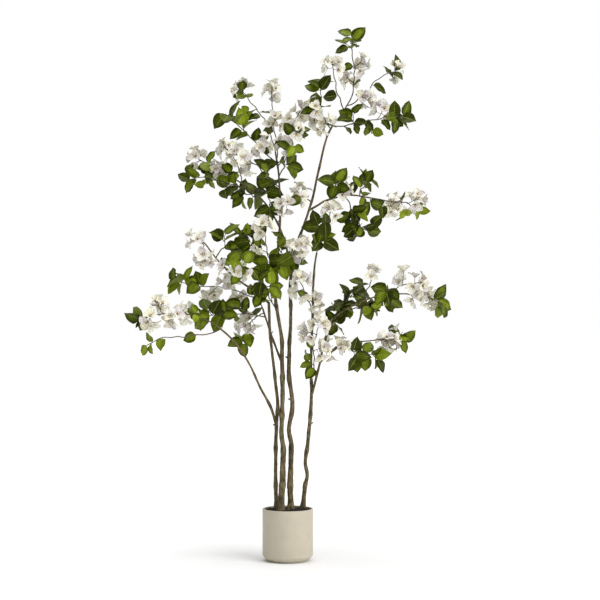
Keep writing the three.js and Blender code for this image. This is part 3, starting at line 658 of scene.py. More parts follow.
class Room:
    """The boxes taken so far, held as arrays so that one box is tested against all of them at once"""

    def __init__(self):
        self.count = 0
        self.middles = np.zeros((ROOM_SIZE, 3))
        self.axes = np.zeros((ROOM_SIZE, 3, 3))
        self.halves = np.zeros((ROOM_SIZE, 3))
        self.reaches = np.zeros(ROOM_SIZE)
        self.owners = np.full(ROOM_SIZE, "", object)

    def add(self, boxes):
        for box in boxes:
            i = self.count
            self.middles[i] = box.middle
            self.axes[i] = box.axes
            self.halves[i] = box.half
            self.reaches[i] = box.reach
            self.owners[i] = box.owner
            self.count += 1

    def meets(self, box, spared=None):
        """Whether a box comes nearer than SPACE to a taken one, by the separating axis test"""
        n = self.count
        apart = self.middles[:n] - box.middle
        near = np.einsum("ij,ij->i", apart, apart) <= (self.reaches[:n] + (box.reach + SPACE)) ** 2
        if spared is not None:
            near &= self.owners[:n] != spared
        index = np.nonzero(near)[0]
        if len(index) == 0:
            return False
        apart = apart[index]
        axes = self.axes[index]
        halves = self.halves[index]
        crosses = np.cross(box.axes[None, :, None, :], axes[:, None, :, :]).reshape(len(index), 9, 3)
        sizes = np.einsum("ijk,ijk->ij", crosses, crosses)
        usable = sizes > 1e-6
        crosses = crosses / np.sqrt(np.where(usable, sizes, 1.0))[:, :, None]
        own = np.broadcast_to(box.axes, axes.shape)
        tries = np.concatenate([own, axes, crosses], axis=1)
        room = SPACE + np.abs(tries @ box.axes.T) @ box.half
        room += np.einsum("mta,ma->mt", np.abs(np.einsum("mti,mai->mta", tries, axes)), halves)
        free = np.abs(np.einsum("mti,mi->mt", tries, apart)) > room
        free[:, 6:] &= usable
        return bool((~free.any(axis=1)).any())

    def any_meet(self, boxes, spared=None):
        return any(self.meets(box, spared) for box in boxes)


def leaf_box(leaf, owner=""):
    axes = [leaf["way"], np.cross(leaf["face"], leaf["way"]), leaf["face"]]
    length = leaf["length"]
    middle = leaf["base"] + leaf["way"] * (length * LEAF_BOX_MIDDLE)
    return Box(middle, axes, [length * LEAF_BOX_HALF, length * LEAF_WIDTH / 2, LEAF_BOX_DEPTH], owner)


def bloom_box(bloom, owner=""):
    side = square_to(bloom["way"], UP)
    middle = bloom["base"] + bloom["way"] * (bloom["stalk"] + BLOOM_DEPTH * BLOOM_BOX_MIDDLE)
    wide = bloom["radius"] * BLOOM_BOX_WIDTH
    axes = [bloom["way"], side, np.cross(bloom["way"], side)]
    return Box(middle, axes, [BLOOM_DEPTH * BLOOM_BOX_HALF, wide, wide], owner)


def leaf_at(end, along, azimuth, shares, lean, length_range, scale, tint):
    """A leaf that leans away from its twig or stem, hangs a little and is rolled about its own length"""
    way = unit(leaned(along, azimuth, between(lean, shares[0])) - UP * LEAF_DROOP)
    flat = square_to(way, along)
    roll = (shares[1] - 0.5) * LEAF_ROLL
    return {
        "base": end,
        "way": way,
        "face": flat * math.cos(roll) + np.cross(way, flat) * math.sin(roll),
        "length": between(length_range, shares[2]) * scale,
        "tint": tint,
    }


def bloom_at(base, way, azimuth, shares, radius_range, stalk):
    """A bloom that faces its way on a stalk from its base, turned round that way by its azimuth"""
    return {
        "base": base,
        "way": way,
        "radius": between(radius_range, shares[1]),
        "stalk": stalk,
        "turn": azimuth + shares[2] * BLOOM_TURN,
    }


def cluster_items(letter, end, along, phase, shares, room, owner):
    """Leaves and blooms round a twig's end, with those left out that meet something else"""
    kind = CLUSTERS[letter]
    made = {"end": end, "along": along, "phase": phase, "leaves": [], "blooms": [], "boxes": []}

    def keep(items, item, box):
        if room.meets(box):
            return False
        items.append(item)
        made["boxes"].append(box)
        return True

    tint = "young" if letter == "Y" else "grown"
    for i in range(kind["leaves"]):
        azimuth = phase + (i / kind["leaves"]) * FULL_TURN
        own = shares[i * 3:i * 3 + 3]
        for scale in (1, SHORTER):
            leaf = leaf_at(end, along, azimuth, own, LEAF_LEAN, kind["leaf_length"], scale, tint)
            if keep(made["leaves"], leaf, leaf_box(leaf, owner)):
                break
    for i in range(kind["blooms"]):
        own = shares[FIRST_BLOOM_SHARE + i * 3:][:3]
        is_end = i == 0 and kind["leaves"] == 0
        around = kind["blooms"] - 1 if kind["leaves"] == 0 else kind["blooms"]
        azimuth = phase + BLOOM_PHASE + (i / around) * FULL_TURN
        base, way, stalk = end, along, END_BLOOM_STALK
        if not is_end:
            base = end - along * (BLOOM_SPACING * (i + 1))
            way = leaned(along, azimuth, between(BLOOM_LEAN, own[0]))
            stalk = between(BLOOM_STALK, own[2])
        bloom = bloom_at(base, way, azimuth, own, BLOOM_RADIUS, stalk)
        keep(made["blooms"], bloom, bloom_box(bloom, owner))
    return made


def grow_cluster(letter, end, along, draw, room, owner):
    """The fullest of a few turns of a cluster"""
    kind = CLUSTERS[letter]
    phase = draw() * FULL_TURN
    shares = [draw() for _ in range(CLUSTER_SHARES)]
    best = None
    for attempt in range(CLUSTER_TRIES):
        made = cluster_items(letter, end, along, phase + attempt * CLUSTER_TURN, shares, room, owner)
        if best is None or len(made["boxes"]) > len(best["boxes"]):
            best = made
        if len(made["boxes"]) == kind["leaves"] + kind["blooms"]:
            break
    return best


def bezier(controls, count):
    """Evenly timed points of a cubic curve"""
    t = np.linspace(0.0, 1.0, count + 1)[:, None]
    a, b, c, d = controls
    return a * (1 - t) ** 3 + b * (3 * t * (1 - t) ** 2) + c * (3 * t * t * (1 - t)) + d * t ** 3


def spray_controls(root, along, tip, arch, is_end, azimuth):
    """The stem of a spray leaves its limb at a slant, arches and ends at its tip"""
    reach = tip - root
    length = np.linalg.norm(reach)
    away = along if is_end else unit(square_to(along, reach) + along * STEM_SLANT)
    sway = leaned(unit(reach), azimuth, math.pi / 2) * (length * STEM_SWAY)
    second = root + away * (length * STEM_BENDS[0])
    third = root + reach * STEM_BENDS[1] + UP * (arch * length) + sway
    return [root, second, third, tip]


def grow_stem(row, number, lines, room):
    """The stem of one spray, turned until it is clear of the limbs and the stems grown before it"""
    name, limb_name, share, tip_point, arch, pattern = row
    draw = seeded(SEED + number * SEED_STEP)
    at = station_of(lines[limb_name], share)
    tip = np.array(tip_point, float)
    phase = draw() * FULL_TURN
    spray = {"name": name, "pattern": pattern, "draw": draw, "phase": phase, "twigs": []}
    for attempt in range(STEM_TRIES):
        more = arch + (attempt // STEM_ARCH_EVERY) * STEM_ARCH_GAIN
        sway_to = phase + attempt * STEM_SWAY_TURN
        controls = spray_controls(at["point"], at["along"], tip, more, share == 1, sway_to)
        length = np.linalg.norm(tip - at["point"])
        stem = bezier(controls, max(3, int(math.floor(length / STEM_STEP + 0.5))))
        boxes = [stretch_box(stem[i], stem[i + 1], STEM_RADIUS) for i in range(len(stem) - 1)]
        if not room.any_meet(boxes, limb_name):
            break
    room.add(boxes)
    last = len(stem) - 1
    radii = np.array([STEM_RADIUS + (STEM_TIP_RADIUS - STEM_RADIUS) * (i / last) for i in range(last + 1)])
    spray["controls"] = controls
    spray["length"] = length
    spray["line"] = {"points": stem, "radii": radii}
    return spray


def grow_twig(spray, number, start, azimuth, letter, room):
    """The twig at one place on a spray's stem, with the fullest cluster that a few turns of it give"""
    draw = spray["draw"]
    length = between(TWIG_LENGTH, draw())
    lean = between(TWIG_LEAN, draw())
    seed = int(math.floor(draw() * CLUSTER_SEEDS))
    full = CLUSTERS[letter]["leaves"] + CLUSTERS[letter]["blooms"]
    owner = f"{spray['name']}_{number}"
    best = None
    for attempt in range(TWIG_TRIES):
        way = leaned(start["along"], azimuth + attempt * TWIG_TURN, lean)
        end = start["point"] + way * length
        box = stretch_box(start["point"] + way * TWIG_CLEAR, end, TWIG_RADIUS, owner)
        if room.meets(box):
            continue
        cluster = grow_cluster(letter, end, way, seeded(seed), room, owner)
        count = len(cluster["boxes"])
        if count > 0 and (best is None or count > len(best["cluster"]["boxes"])):
            best = {"box": box, "cluster": cluster, "owner": owner}
        if count == full:
            break
    if best is not None:
        best["start"] = start["point"]
        best["along"] = start["along"]
    return best


def grow_twigs(spray, room):
    """The twigs, leaves and blooms of a spray by the seeded rule, from its tip back to its root"""
    pattern = spray["pattern"]
    last = len(pattern) - 1
    tip = spray["line"]["points"][-1]
    way = station_of(spray["line"], 1)["along"]
    owner = f"{spray['name']}_end"
    spray["end"] = grow_cluster(pattern[last], tip, way, spray["draw"], room, owner)
    spray["end_owner"] = owner
    room.add(spray["end"]["boxes"])
    for k in range(last - 1, -1, -1):
        start = station_of(spray["line"], FIRST_TWIG + (1 - FIRST_TWIG) * k / last)
        twig = grow_twig(spray, k, start, spray["phase"] + k * GOLDEN_ANGLE, pattern[k], room)
        if twig is None:
            continue
        spray["twigs"].append(twig)
        room.add([twig["box"]] + twig["cluster"]["boxes"])


# The finer growth
def crooked(points, start, random):
    """A line with small bends, still where it begins and ends"""
    share = np.linspace(0.0, 1.0, len(points))[:, None]
    along = unit(points[-1] - points[0])
    side = square_to(along, UP)
    across = np.cross(along, side)
    bends = np.zeros((len(points), 2))
    for waves, gain in BENDS:
        turns = share * waves * FULL_TURN * random.uniform(*BENDS_STRETCH)
        bends += gain * np.sin(turns + random.uniform(0.0, FULL_TURN, 2))
    bends *= TWIG_CROOK * np.minimum(1.0, BENDS_FADE * np.minimum(share - start, 1 - share)).clip(0.0)
    return points + side * bends[:, :1] + across * bends[:, 1:]


def draw_lines(sprays):
    """The fine line of each spray's stem and of each of its twigs"""
    for number, spray in enumerate(sprays):
        random = np.random.default_rng(LINE_SEED + number)
        spray["fine"] = crooked(bezier(spray["controls"], STEM_STEPS), BENDS_START, random)
        spray["end"]["fine"] = spray["fine"]
        for twig in spray["twigs"]:
            end, way = twig["cluster"]["end"], twig["cluster"]["along"]
            length = np.linalg.norm(end - twig["start"])
            second = twig["start"] + twig["along"] * length * TWIG_LEAVES_AT
            third = end - way * length * TWIG_ENDS_AT
            twig["fine"] = bezier([twig["start"], second, third, end], TWIG_STEPS)
            twig["cluster"]["fine"] = twig["fine"]


def back_along(points, distance):
    """The point of a line at a distance back from its end, and no further than its beginning"""
    steps = np.linalg.norm(points[1:] - points[:-1], axis=1)[::-1]
    for k, step in enumerate(steps):
        here, behind = points[len(points) - 1 - k], points[len(points) - 2 - k]
        if distance <= step:
            return here + (behind - here) * (distance / step)
        distance -= step
    return points[0] + (points[1] - points[0]) * LINE_START


def add_crown(cluster, owner, draw, room):
    """Smaller blooms that fill the middle of a cluster of blooms"""
    if not cluster["blooms"]:
        return
    end, along = cluster["end"], cluster["along"]
    for i in range(CROWN_BLOOMS):
        for attempt in range(FINE_TRIES):
            turned = cluster["phase"] + CROWN_PHASE + (i / CROWN_BLOOMS) * FULL_TURN
            azimuth = turned + attempt * CROWN_TURN
            shares = [draw(), draw(), draw()]
            base = end - along * CROWN_BLOOM_SET_BACK
            way = leaned(along, azimuth, between(CROWN_BLOOM_LEAN, shares[0]))
            stalk = between(CROWN_BLOOM_STALK, shares[2])
            bloom = bloom_at(base, way, azimuth, shares, CROWN_BLOOM_RADIUS, stalk)
            box = bloom_box(bloom, owner)
            if not room.meets(box, owner):
                cluster["blooms"].append(bloom)
                room.add([box])
                break


def side_leaves(spray, draw, room):
    """Leaves set alternately along a spray's stem, where there is room for them"""
    made = []
    line = {"points": spray["fine"], "radii": np.full(len(spray["fine"]), STEM_RADIUS)}
    spacing = OWN_SIDE_LEAF_SPACING.get(spray["name"], SIDE_LEAF_SPACING)
    leafy = 1 - FIRST_SIDE_LEAF
    count = int(spray["length"] * leafy / spacing)
    for k in range(count):
        at = station_of(line, FIRST_SIDE_LEAF + leafy * (k + 0.5) / count)
        for attempt in range(FINE_TRIES):
            shares = [draw(), draw(), draw()]
            azimuth = spray["phase"] + SIDE_LEAF_PHASE + k * GOLDEN_ANGLE + attempt * SIDE_LEAF_TURN
            tint = "young" if draw() < YOUNG_SIDE_LEAVES else "grown"
            base, along = at["point"], at["along"]
            leaf = leaf_at(base, along, azimuth, shares, SIDE_LEAF_LEAN, SIDE_LEAF_LENGTH, 1, tint)
            leaf["base"] = leaf["base"] + leaf["way"] * PETIOLE
            leaf["petiole"] = base
            box = leaf_box(leaf)
            if not room.meets(box):
                made.append(leaf)
                room.add([box])
                break
    return made


def turn_leaf(leaf, along, draw):
    """A leaf turned a little its own way, with its upper side more to the front"""
    way, face = leaf["way"], leaf["face"]
    across = np.cross(face, way)
    way = unit(way + along * between(LEAF_LIFT, draw()) + across * between(LEAF_SWING, draw()))
    way = unit(way * np.array([1.0, LEAF_FLATTEN, 1.0]))
    flat = square_to(way, face * (1 - LEAF_TURN) + LEAF_FRONT * LEAF_TURN)
    twist = between(LEAF_TWIST, draw())
    leaf["face"] = flat * math.cos(twist) + np.cross(way, flat) * math.sin(twist)
    leaf["way"] = way


def set_leaf(leaf, cluster, number, draw):
    """The petiole and blade of a leaf of a cluster, set back along its twig"""
    root = back_along(cluster["fine"], LEAF_SET_BACK * number)
    turn_leaf(leaf, cluster["along"], draw)
    leaf["petiole"] = root
    leaf["base"] = root + leaf["way"] * (leaf["length"] * (1 - BLADE_SHARE))
    leaf["length"] = leaf["length"] * BLADE_SHARE


def clusters_of(spray):
    """A spray's clusters, from the one at its tip back to its root"""
    return [spray["end"]] + [twig["cluster"] for twig in spray["twigs"]]


def set_leaves(sprays):
    """Petioles for the leaves of each cluster, and a turn of its own for each leaf"""
    for number, spray in enumerate(sprays):
        draw = seeded(TURN_SEED + number * FINE_SEED_STEP)
        for cluster in clusters_of(spray):
            for k, leaf in enumerate(cluster["leaves"]):
                set_leaf(leaf, cluster, k, draw)
        for leaf in spray["side_leaves"]:
            turn_leaf(leaf, np.zeros(3), draw)
            leaf["base"] = leaf["petiole"] + leaf["way"] * PETIOLE


def grow_finer(sprays, room):
    """The fine lines of stems and twigs, smaller blooms in the clusters and leaves along the stems"""
    draw_lines(sprays)
    for number, spray in enumerate(sprays):
        draw = seeded(CROWN_SEED + number * FINE_SEED_STEP)
        add_crown(spray["end"], spray["end_owner"], draw, room)
        for twig in spray["twigs"]:
            add_crown(twig["cluster"], twig["owner"], draw, room)
    for number, spray in enumerate(sprays):
        draw = seeded(SIDE_SEED + number * FINE_SEED_STEP)
        spray["side_leaves"] = side_leaves(spray, draw, room)
    set_leaves(sprays)


def in_scene(name, data):
    made = bpy.data.objects.new(name, data)
    bpy.context.scene.collection.objects.link(made)
    return made


# Meshes: everything is made of patches, grids of points that are joined into one mesh by kind
def patch_faces(rows, columns, closed):
    """The four corners of each face of a grid of points"""
    across = columns if closed else columns - 1
    row, column = np.meshgrid(np.arange(rows - 1), np.arange(across), indexing="ij")
    here = row * columns
    there = here + columns
    beside = (column + 1) % columns
    return np.stack([here + column, here + beside, there + beside, there + column], axis=-1).reshape(-1, 4)


class Pieces:
    """Patches gathered into one mesh"""

    def __init__(self, name, materials, slot_name):
        self.name = name
        self.materials = materials
        self.slot_name = slot_name
        self.points = []
        self.faces = []
        self.tints = []
        self.count = 0

    def add(self, grids, tints, closed=False, flipped=False):
        """Grids are (patches, rows, columns, 3) in mm, and tints are for all, for each patch or each face"""
        grids = np.asarray(grids, float)
        patches, rows, columns = grids.shape[:3]
        faces = patch_faces(rows, columns, closed)
        if flipped:
            # The other way round, and still split along the same diagonal
            faces = faces[:, [0, 3, 2, 1]]
        starts = self.count + np.arange(patches) * rows * columns
        self.points.append(grids.reshape(-1, 3))
        self.faces.append((faces[None] + starts[:, None, None]).reshape(-1, 4))
        tints = np.asarray(tints)
        if tints.ndim == 1:
            tints = tints[:, None]
        self.tints.append(np.broadcast_to(tints, (patches, len(faces))).ravel())
        self.count += patches * rows * columns

    def build(self, replaced):
        points = np.concatenate(self.points) * MM
        faces = np.concatenate(self.faces)
        mesh = bpy.data.meshes.new(self.name)
        mesh.from_pydata(points.tolist(), [], faces.tolist())
        mesh.polygons.foreach_set("material_index", np.concatenate(self.tints).astype(np.int32))
        mesh.shade_smooth()
        for material in self.materials:
            mesh.materials.append(material)
        mesh.validate()
        piece = in_scene(self.name, mesh)
        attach(piece, "root")
        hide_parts(*replaced)


def tubes(points, radii, sides):
    """Rings round many lines at once: points are (lines, places, 3) and radii (lines, places)"""
    points = np.asarray(points, float)
    ahead = np.concatenate([points[:, 1:], points[:, -1:]], axis=1)
    behind = np.concatenate([points[:, :1], points[:, :-1]], axis=1)
    along = ahead - behind
    along /= np.linalg.norm(along, axis=2, keepdims=True)
    side = np.broadcast_to(RIGHT, along[:, 0].shape)
    angles = np.arange(sides) / sides * FULL_TURN
    rings = []
    for i in range(points.shape[1]):
        side = side - along[:, i] * np.sum(side * along[:, i], axis=1, keepdims=True)
        weak = np.linalg.norm(side, axis=1, keepdims=True) < 1e-3
        side = np.where(weak, np.cross(along[:, i], UP), side)
        side = side / np.linalg.norm(side, axis=1, keepdims=True)
        across = np.cross(along[:, i], side)
        out = side[:, None] * np.cos(angles)[None, :, None] + across[:, None] * np.sin(angles)[None, :, None]
        rings.append(points[:, i, None] + out * radii[:, i, None, None])
    return np.stack(rings, axis=1)


def stacked(items, key):
    """One value of many leaves or blooms, ready to be combined with their grids"""
    return np.array([item[key] for item in items])[:, None, None]


def varied(limits, items, random):
    """For each range a random value for each leaf or bloom"""
    return [random.uniform(low, high, (len(items), 1, 1, 1)) for low, high in limits.values()]


def leaf_patches(leaves, random):
    """Upper and under sides of leaves: folded along the midrib, arched, with wavy edges and a long tip"""
    base, way, face = [stacked(leaves, key) for key in ("base", "way", "face")]
    across = np.cross(face, way)
    length = stacked(leaves, "length")[..., None]
    v = LEAF_COLUMNS[None, None, :, None]
    u = LEAF_ROWS[None, :, None, None]
    u = u + LEAF_SLANT * np.abs(v) * u * (1.0 - u)
    half = length * (BLADE_WIDTH / 2) * np.interp(u, LEAF_STATIONS, LEAF_HALF_WIDTHS)
    fold, arch, turn, wave, start, bend = varied(LEAF_VARIES, leaves, random)
    arch = LEAF_ARCH * arch
    side = v * half * np.cos(turn * u) + length * bend * u * u
    lift = LEAF_FOLD * fold * np.abs(v) * half * (1.0 - LEAF_UNFOLD * u) + v * half * np.sin(turn * u)
    lift = lift - arch * length * u * u
    lift = lift + LEAF_WAVE * wave * np.sin(start + u * LEAF_WAVES + v * LEAF_WAVE_SLANT) * np.abs(v) ** 2
    upper = base + way * (length * (u - LEAF_SHORTENS * arch * u * u)) + across * side + face * lift
    under = upper - face * np.where(np.abs(v) == 1.0, LEAF_EDGE_THICKNESS, LEAF_THICKNESS)
    return upper, under


def bract_patches(blooms, random):
    """Three crinkled, cupped and pointed bracts for each bloom"""
    way = stacked(blooms, "way")
    base = stacked(blooms, "base") + way * stacked(blooms, "stalk")[..., None]
    first = np.array([leaned(bloom["way"], bloom["turn"], math.pi / 2) for bloom in blooms])[:, None, None]
    second = np.cross(way, first)
    radius = stacked(blooms, "radius")[..., None]
    t = BRACT_STATIONS[None, :, None, None]
    v = BRACT_COLUMNS[None, None, :, None]
    half = radius * BRACT_WIDTH * BRACT_HALF_WIDTHS[None, :, None, None]
    cup = BRACT_CUP * half * v * v
    grids = []
    for i in range(BRACT_COUNT):
        angle = i * FULL_TURN / BRACT_COUNT
        out = first * math.cos(angle) + second * math.sin(angle)
        across = second * math.cos(angle) - first * math.sin(angle)
        opening, depth, turn, start, other, curl = varied(BRACT_VARIES, blooms, random)
        reach = radius * opening * ((1 - BRACT_SPREAD) * t + BRACT_SPREAD * t ** BRACT_SPREAD_POWER)
        height = BLOOM_DEPTH * depth * ((1 + BRACT_ROUNDING) * t - BRACT_ROUNDING * t * t) - curl * t ** 3
        crinkle = BRACT_CRINKLE * np.sin(start + t * BRACT_WAVES[0] + v * BRACT_WAVES[1])
        crinkle = crinkle * np.sin(other + v * BRACT_CROSS_WAVES[1] - t * BRACT_CROSS_WAVES[0])
        waves = BRACT_EDGE_WAVES * (1 - BRACT_OPENING_WAVES + BRACT_OPENING_WAVES * opening)
        edge = BRACT_EDGE_WAVE * np.abs(v) ** 2 * np.sin(start * 2.0 + t * waves)
        side = v * half * (1 - BRACT_PINCH * v * v) * np.cos(turn)
        lift = height + crinkle * np.minimum(1.0, t * CRINKLE_GROWTH)
        lift = lift + edge * np.minimum(1.0, t * EDGE_GROWTH) + cup + v * half * np.sin(turn)
        grids.append(base + out * (reach - BRACT_CUP_PULL * cup) + across * side + way * lift)
    return np.stack(grids, axis=1)


# Materials
def node(tree, kind, **values):
    made = tree.nodes.new(kind)
    for name, value in values.items():
        made.inputs[name].default_value = value
    return made


def join(tree, source, output, target, entry):
    tree.links.new(source.outputs[output], target.inputs[entry])


def surface(name, colour, roughness):
    """A plain shader to which pattern nodes are added"""
    material = bpy.data.materials.new(name)
    material.use_nodes = True
    shader = material.node_tree.nodes["Principled BSDF"]
    shader.inputs["Base Color"].default_value = colour
    shader.inputs["Roughness"].default_value = roughness
    material.diffuse_color = colour
    return material, shader


def mottled(name, dark, light, roughness, scale, bumps, stretch=(1, 1, 1), details=(4, 3), plain=None):
    """Soft noise between two screen colours, with fine bumps of a scale, a strength and a depth in metres"""
    material, shader = surface(name, srgb(*(plain or light)), roughness)
    tree = material.node_tree
    place = tree.nodes.new("ShaderNodeTexCoord")
    mapping = node(tree, "ShaderNodeMapping", Scale=stretch)
    join(tree, place, "Object", mapping, "Vector")
    stains = node(tree, "ShaderNodeTexNoise", Scale=scale, Detail=details[0], Roughness=NOISE_ROUGHNESS)
    join(tree, mapping, "Vector", stains, "Vector")
    ramp = tree.nodes.new("ShaderNodeValToRGB")
    for element, position, colour in zip(ramp.color_ramp.elements, MOTTLE_ENDS, (dark, light)):
        element.position = position
        element.color = srgb(*colour)
    join(tree, stains, "Fac", ramp, "Fac")
    join(tree, ramp, "Color", shader, "Base Color")
    grain = node(tree, "ShaderNodeTexNoise", Scale=bumps[0], Detail=details[1], Roughness=NOISE_ROUGHNESS)
    join(tree, mapping, "Vector", grain, "Vector")
    bump = node(tree, "ShaderNodeBump", Strength=bumps[1], Distance=bumps[2])
    join(tree, grain, "Fac", bump, "Height")
    join(tree, bump, "Normal", shader, "Normal")
    return material, shader


def leaf_material(name, dark, light, roughness):
    material, shader = mottled(name, dark, light, roughness, scale=70.0, bumps=(420.0, 0.35, 0.0008))
    shader.inputs["Specular IOR Level"].default_value = LEAF_GLOSS
    shader.inputs["Specular Tint"].default_value = srgb(*LEAF_SHINE)
    return material


def bract_material(name, dark, light):
    material, shader = mottled(name, dark, light, roughness=0.72, scale=110.0, bumps=(380.0, 0.5, 0.001))
    shader.inputs["Sheen Weight"].default_value = BRACT_SHEEN
    return material


def twig_material(name, dark, light):
    return mottled(name, dark, light, roughness=0.62, scale=160.0, bumps=(500.0, 0.4, 0.0006))[0]


def bark_material():
    return mottled(
        "bark", *BARK_COLOURS, roughness=0.88, scale=110.0, bumps=(260.0, 0.8, 0.0016),
        stretch=(1.0, 1.0, 0.5), details=(8.0, 6.0), plain=BARK_PLAIN,
    )[0]


def pot_material():
    bumps = (900.0, 0.08, 0.0002)
    return mottled("pot_cream", *POT_COLOURS, roughness=0.5, scale=26.0, bumps=bumps, plain=POT_PLAIN)[0]


def grit_material(name, dark, light):
    return mottled(name, dark, light, roughness=0.85, scale=300.0, bumps=(900.0, 0.7, 0.0008))[0]


def floor_material():
    material, shader = surface("floor_white", FLOOR_COLOUR, roughness=0.9)
    shader.inputs["Specular IOR Level"].default_value = 0.0
    return material


# Pot and filling
def lathe(profile, sides):
    """A grid of points turned round the upright axis"""
    profile = np.array(profile, float)
    angles = np.arange(sides) / sides * FULL_TURN
    ring = np.stack([np.cos(angles), np.sin(angles)], axis=1)
    flat = profile[:, 0, None, None] * ring[None]
    heights = np.broadcast_to(profile[:, 1, None, None], (len(profile), sides, 1))
    return np.concatenate([flat, heights], axis=2)


def round_corner(middle_r, middle_z, radius_r, radius_z, start, end, count):
    """Points of a profile along an arc between two angles in degrees"""
    angles = np.radians(np.linspace(start, end, count))
    return [[middle_r + radius_r * math.cos(a), middle_z + radius_z * math.sin(a)] for a in angles]


def foot_edge():
    """The pot's lower edge, part way between a straight bevel and an arc"""
    wide = POT_RADIUS - POT_FOOT_RADIUS
    arc = round_corner(POT_FOOT_RADIUS, POT_EDGE_HEIGHT, wide, POT_EDGE_HEIGHT, -90, 0, POT_EDGE_POINTS)
    points = []
    for k, point in enumerate(arc):
        share = k / (POT_EDGE_POINTS - 1)
        bevel = [POT_FOOT_RADIUS + wide * share, POT_EDGE_HEIGHT * share]
        points.append([a + (b - a) * POT_EDGE_ROUND for a, b in zip(bevel, point)])
    return points


def build_pot():
    inner = POT_RADIUS - POT_WALL
    lip = POT_HEIGHT - POT_LIP
    profile = [[radius, 0.0] for radius in (AXIS_RADIUS, *POT_BASE_RADII)] + foot_edge()
    profile += [
        [POT_RADIUS, POT_CREASE_HEIGHT - POT_CREASE_HALF],
        [POT_RADIUS - POT_CREASE_DEPTH, POT_CREASE_HEIGHT],
        [POT_RADIUS, POT_CREASE_HEIGHT + POT_CREASE_HALF],
    ]
    profile += [[POT_RADIUS, height] for height in (*POT_WALL_HEIGHTS, lip - POT_LIP_EDGE)]
    profile += round_corner(POT_RADIUS - POT_LIP, lip, POT_LIP, POT_LIP, 0, 90, POT_LIP_POINTS)
    profile += round_corner(inner + POT_LIP, lip, POT_LIP, POT_LIP, 90, 180, POT_LIP_POINTS)
    profile += [[inner, POT_EDGE_HEIGHT + POT_FLOOR], [inner - POT_WALL, POT_FLOOR], [AXIS_RADIUS, POT_FLOOR]]
    pot = Pieces("pot_smooth", [pot_material()], "pot_shell")
    pot.add(lathe(profile, POT_SIDES)[None], [0], closed=True)
    pot.build(["pot"])


def grit_stones(random):
    """Small rough stones strewn over the filling"""
    tilt = np.linspace(GRIT_POLE, math.pi - GRIT_POLE, GRIT_RINGS)
    ball = lathe(np.stack([np.sin(tilt), -np.cos(tilt)], axis=1), GRIT_SIDES)
    count = GRIT_COUNT
    shape = ball[None] * random.uniform(*GRIT_RADIUS, (count, 1, 1, 1))
    shape = shape * random.uniform(*GRIT_STRETCH, (count, 1, 1, 3))
    shape = shape * random.uniform(*GRIT_DENTS, (count, GRIT_RINGS, GRIT_SIDES, 1))
    away = (POT_RADIUS - POT_WALL - GRIT_EDGE) * np.sqrt(random.uniform(0.0, 1.0, count))
    turn = random.uniform(0.0, FULL_TURN, count)
    height = SOIL_TOP - random.uniform(*GRIT_SINK, count)
    middle = np.stack([away * np.cos(turn), away * np.sin(turn), height], axis=1)
    return shape + middle[:, None, None]


def build_soil():
    random = np.random.default_rng(SOIL_SEED)
    inner = POT_RADIUS - POT_WALL - GAP
    under = [inner, inner - POT_WALL, AXIS_RADIUS]
    radii = np.concatenate([[AXIS_RADIUS], np.linspace(SOIL_FIRST_RING, inner, SOIL_RINGS), under])
    heights = np.full(len(radii), SOIL_TOP - SOIL_SINK)
    heights[-3] = POT_EDGE_HEIGHT + POT_FLOOR + GAP
    heights[-2:] = POT_FLOOR + GAP
    grid = lathe(np.stack([radii, heights], axis=1)[::-1], SOIL_SIDES)
    rough = random.uniform(*SOIL_ROUGHNESS, grid.shape[:2])
    rough[:len(under)] = 0.0
    grid[:, :, 2] += rough
    soil = Pieces("soil_grit", [grit_material(*row) for row in GRIT_COLOURS], "fill")
    soil.add(grid[None], [0], closed=True)
    stones = grit_stones(random)
    soil.add(stones, random.choice(GRIT_MIX, len(stones)), closed=True)
    soil.build(["soil"])


# Limbs with the relief of bark
def bark_radii(limb, line, count, random):
    """Radii of a limb's rings, with knobs and swellings"""
    share = np.linspace(0.0, 1.0, count)
    radius = limb["radius"][0] + (limb["radius"][1] - limb["radius"][0]) * share ** LIMB_TAPER
    radius = radius * BARK_GAIN
    places = len(line["points"]) - 1
    for i in range(2, places, KNOB_EVERY):
        radius = radius * (1 + KNOB_GAIN * np.exp(-((share - i / places) * places / KNOB_LENGTH) ** 2))
    for i in range(1, places):
        middle = (i + random.uniform(*SWELLING_SHIFT)) / places
        gain = random.uniform(*SWELLING_GAIN)
        radius = radius * (1 + gain * np.exp(-((share - middle) * places / SWELLING_LENGTH) ** 2))
    return radius


def bark_grid(points, radius, random):
    """Rings with slanted ridges and small dents"""
    angles = np.arange(BARK_SIDES) / BARK_SIDES * FULL_TURN
    grid = tubes(points[None], radius[None], BARK_SIDES)[0]
    along = np.arange(len(points))[:, None] * BARK_STEP
    ridges = np.zeros(grid.shape[:2])
    for waves, pitch, gain in BARK_RIDGES:
        start = random.uniform(0.0, FULL_TURN)
        ridges += gain * np.sin(waves * angles[None] + along / pitch * FULL_TURN / 2 + start)
    ridges += random.normal(0.0, BARK_ROUGHNESS, ridges.shape)
    middle = points[:, None]
    return middle + (grid - middle) * (1 + ridges)[:, :, None]


def stub_grid(line, share, number):
    """A short cut-off twig left on a limb"""
    at = station_of(line, share)
    way = leaned(at["along"], number * GOLDEN_ANGLE + STUB_TURN, STUB_LEAN)
    length = at["radius"] + STUB_LENGTH
    points = at["point"] + way * (STUB_PLACES * length)[:, None]
    return tubes(points[None], at["radius"] * STUB_RADII[None], STUB_SIDES)


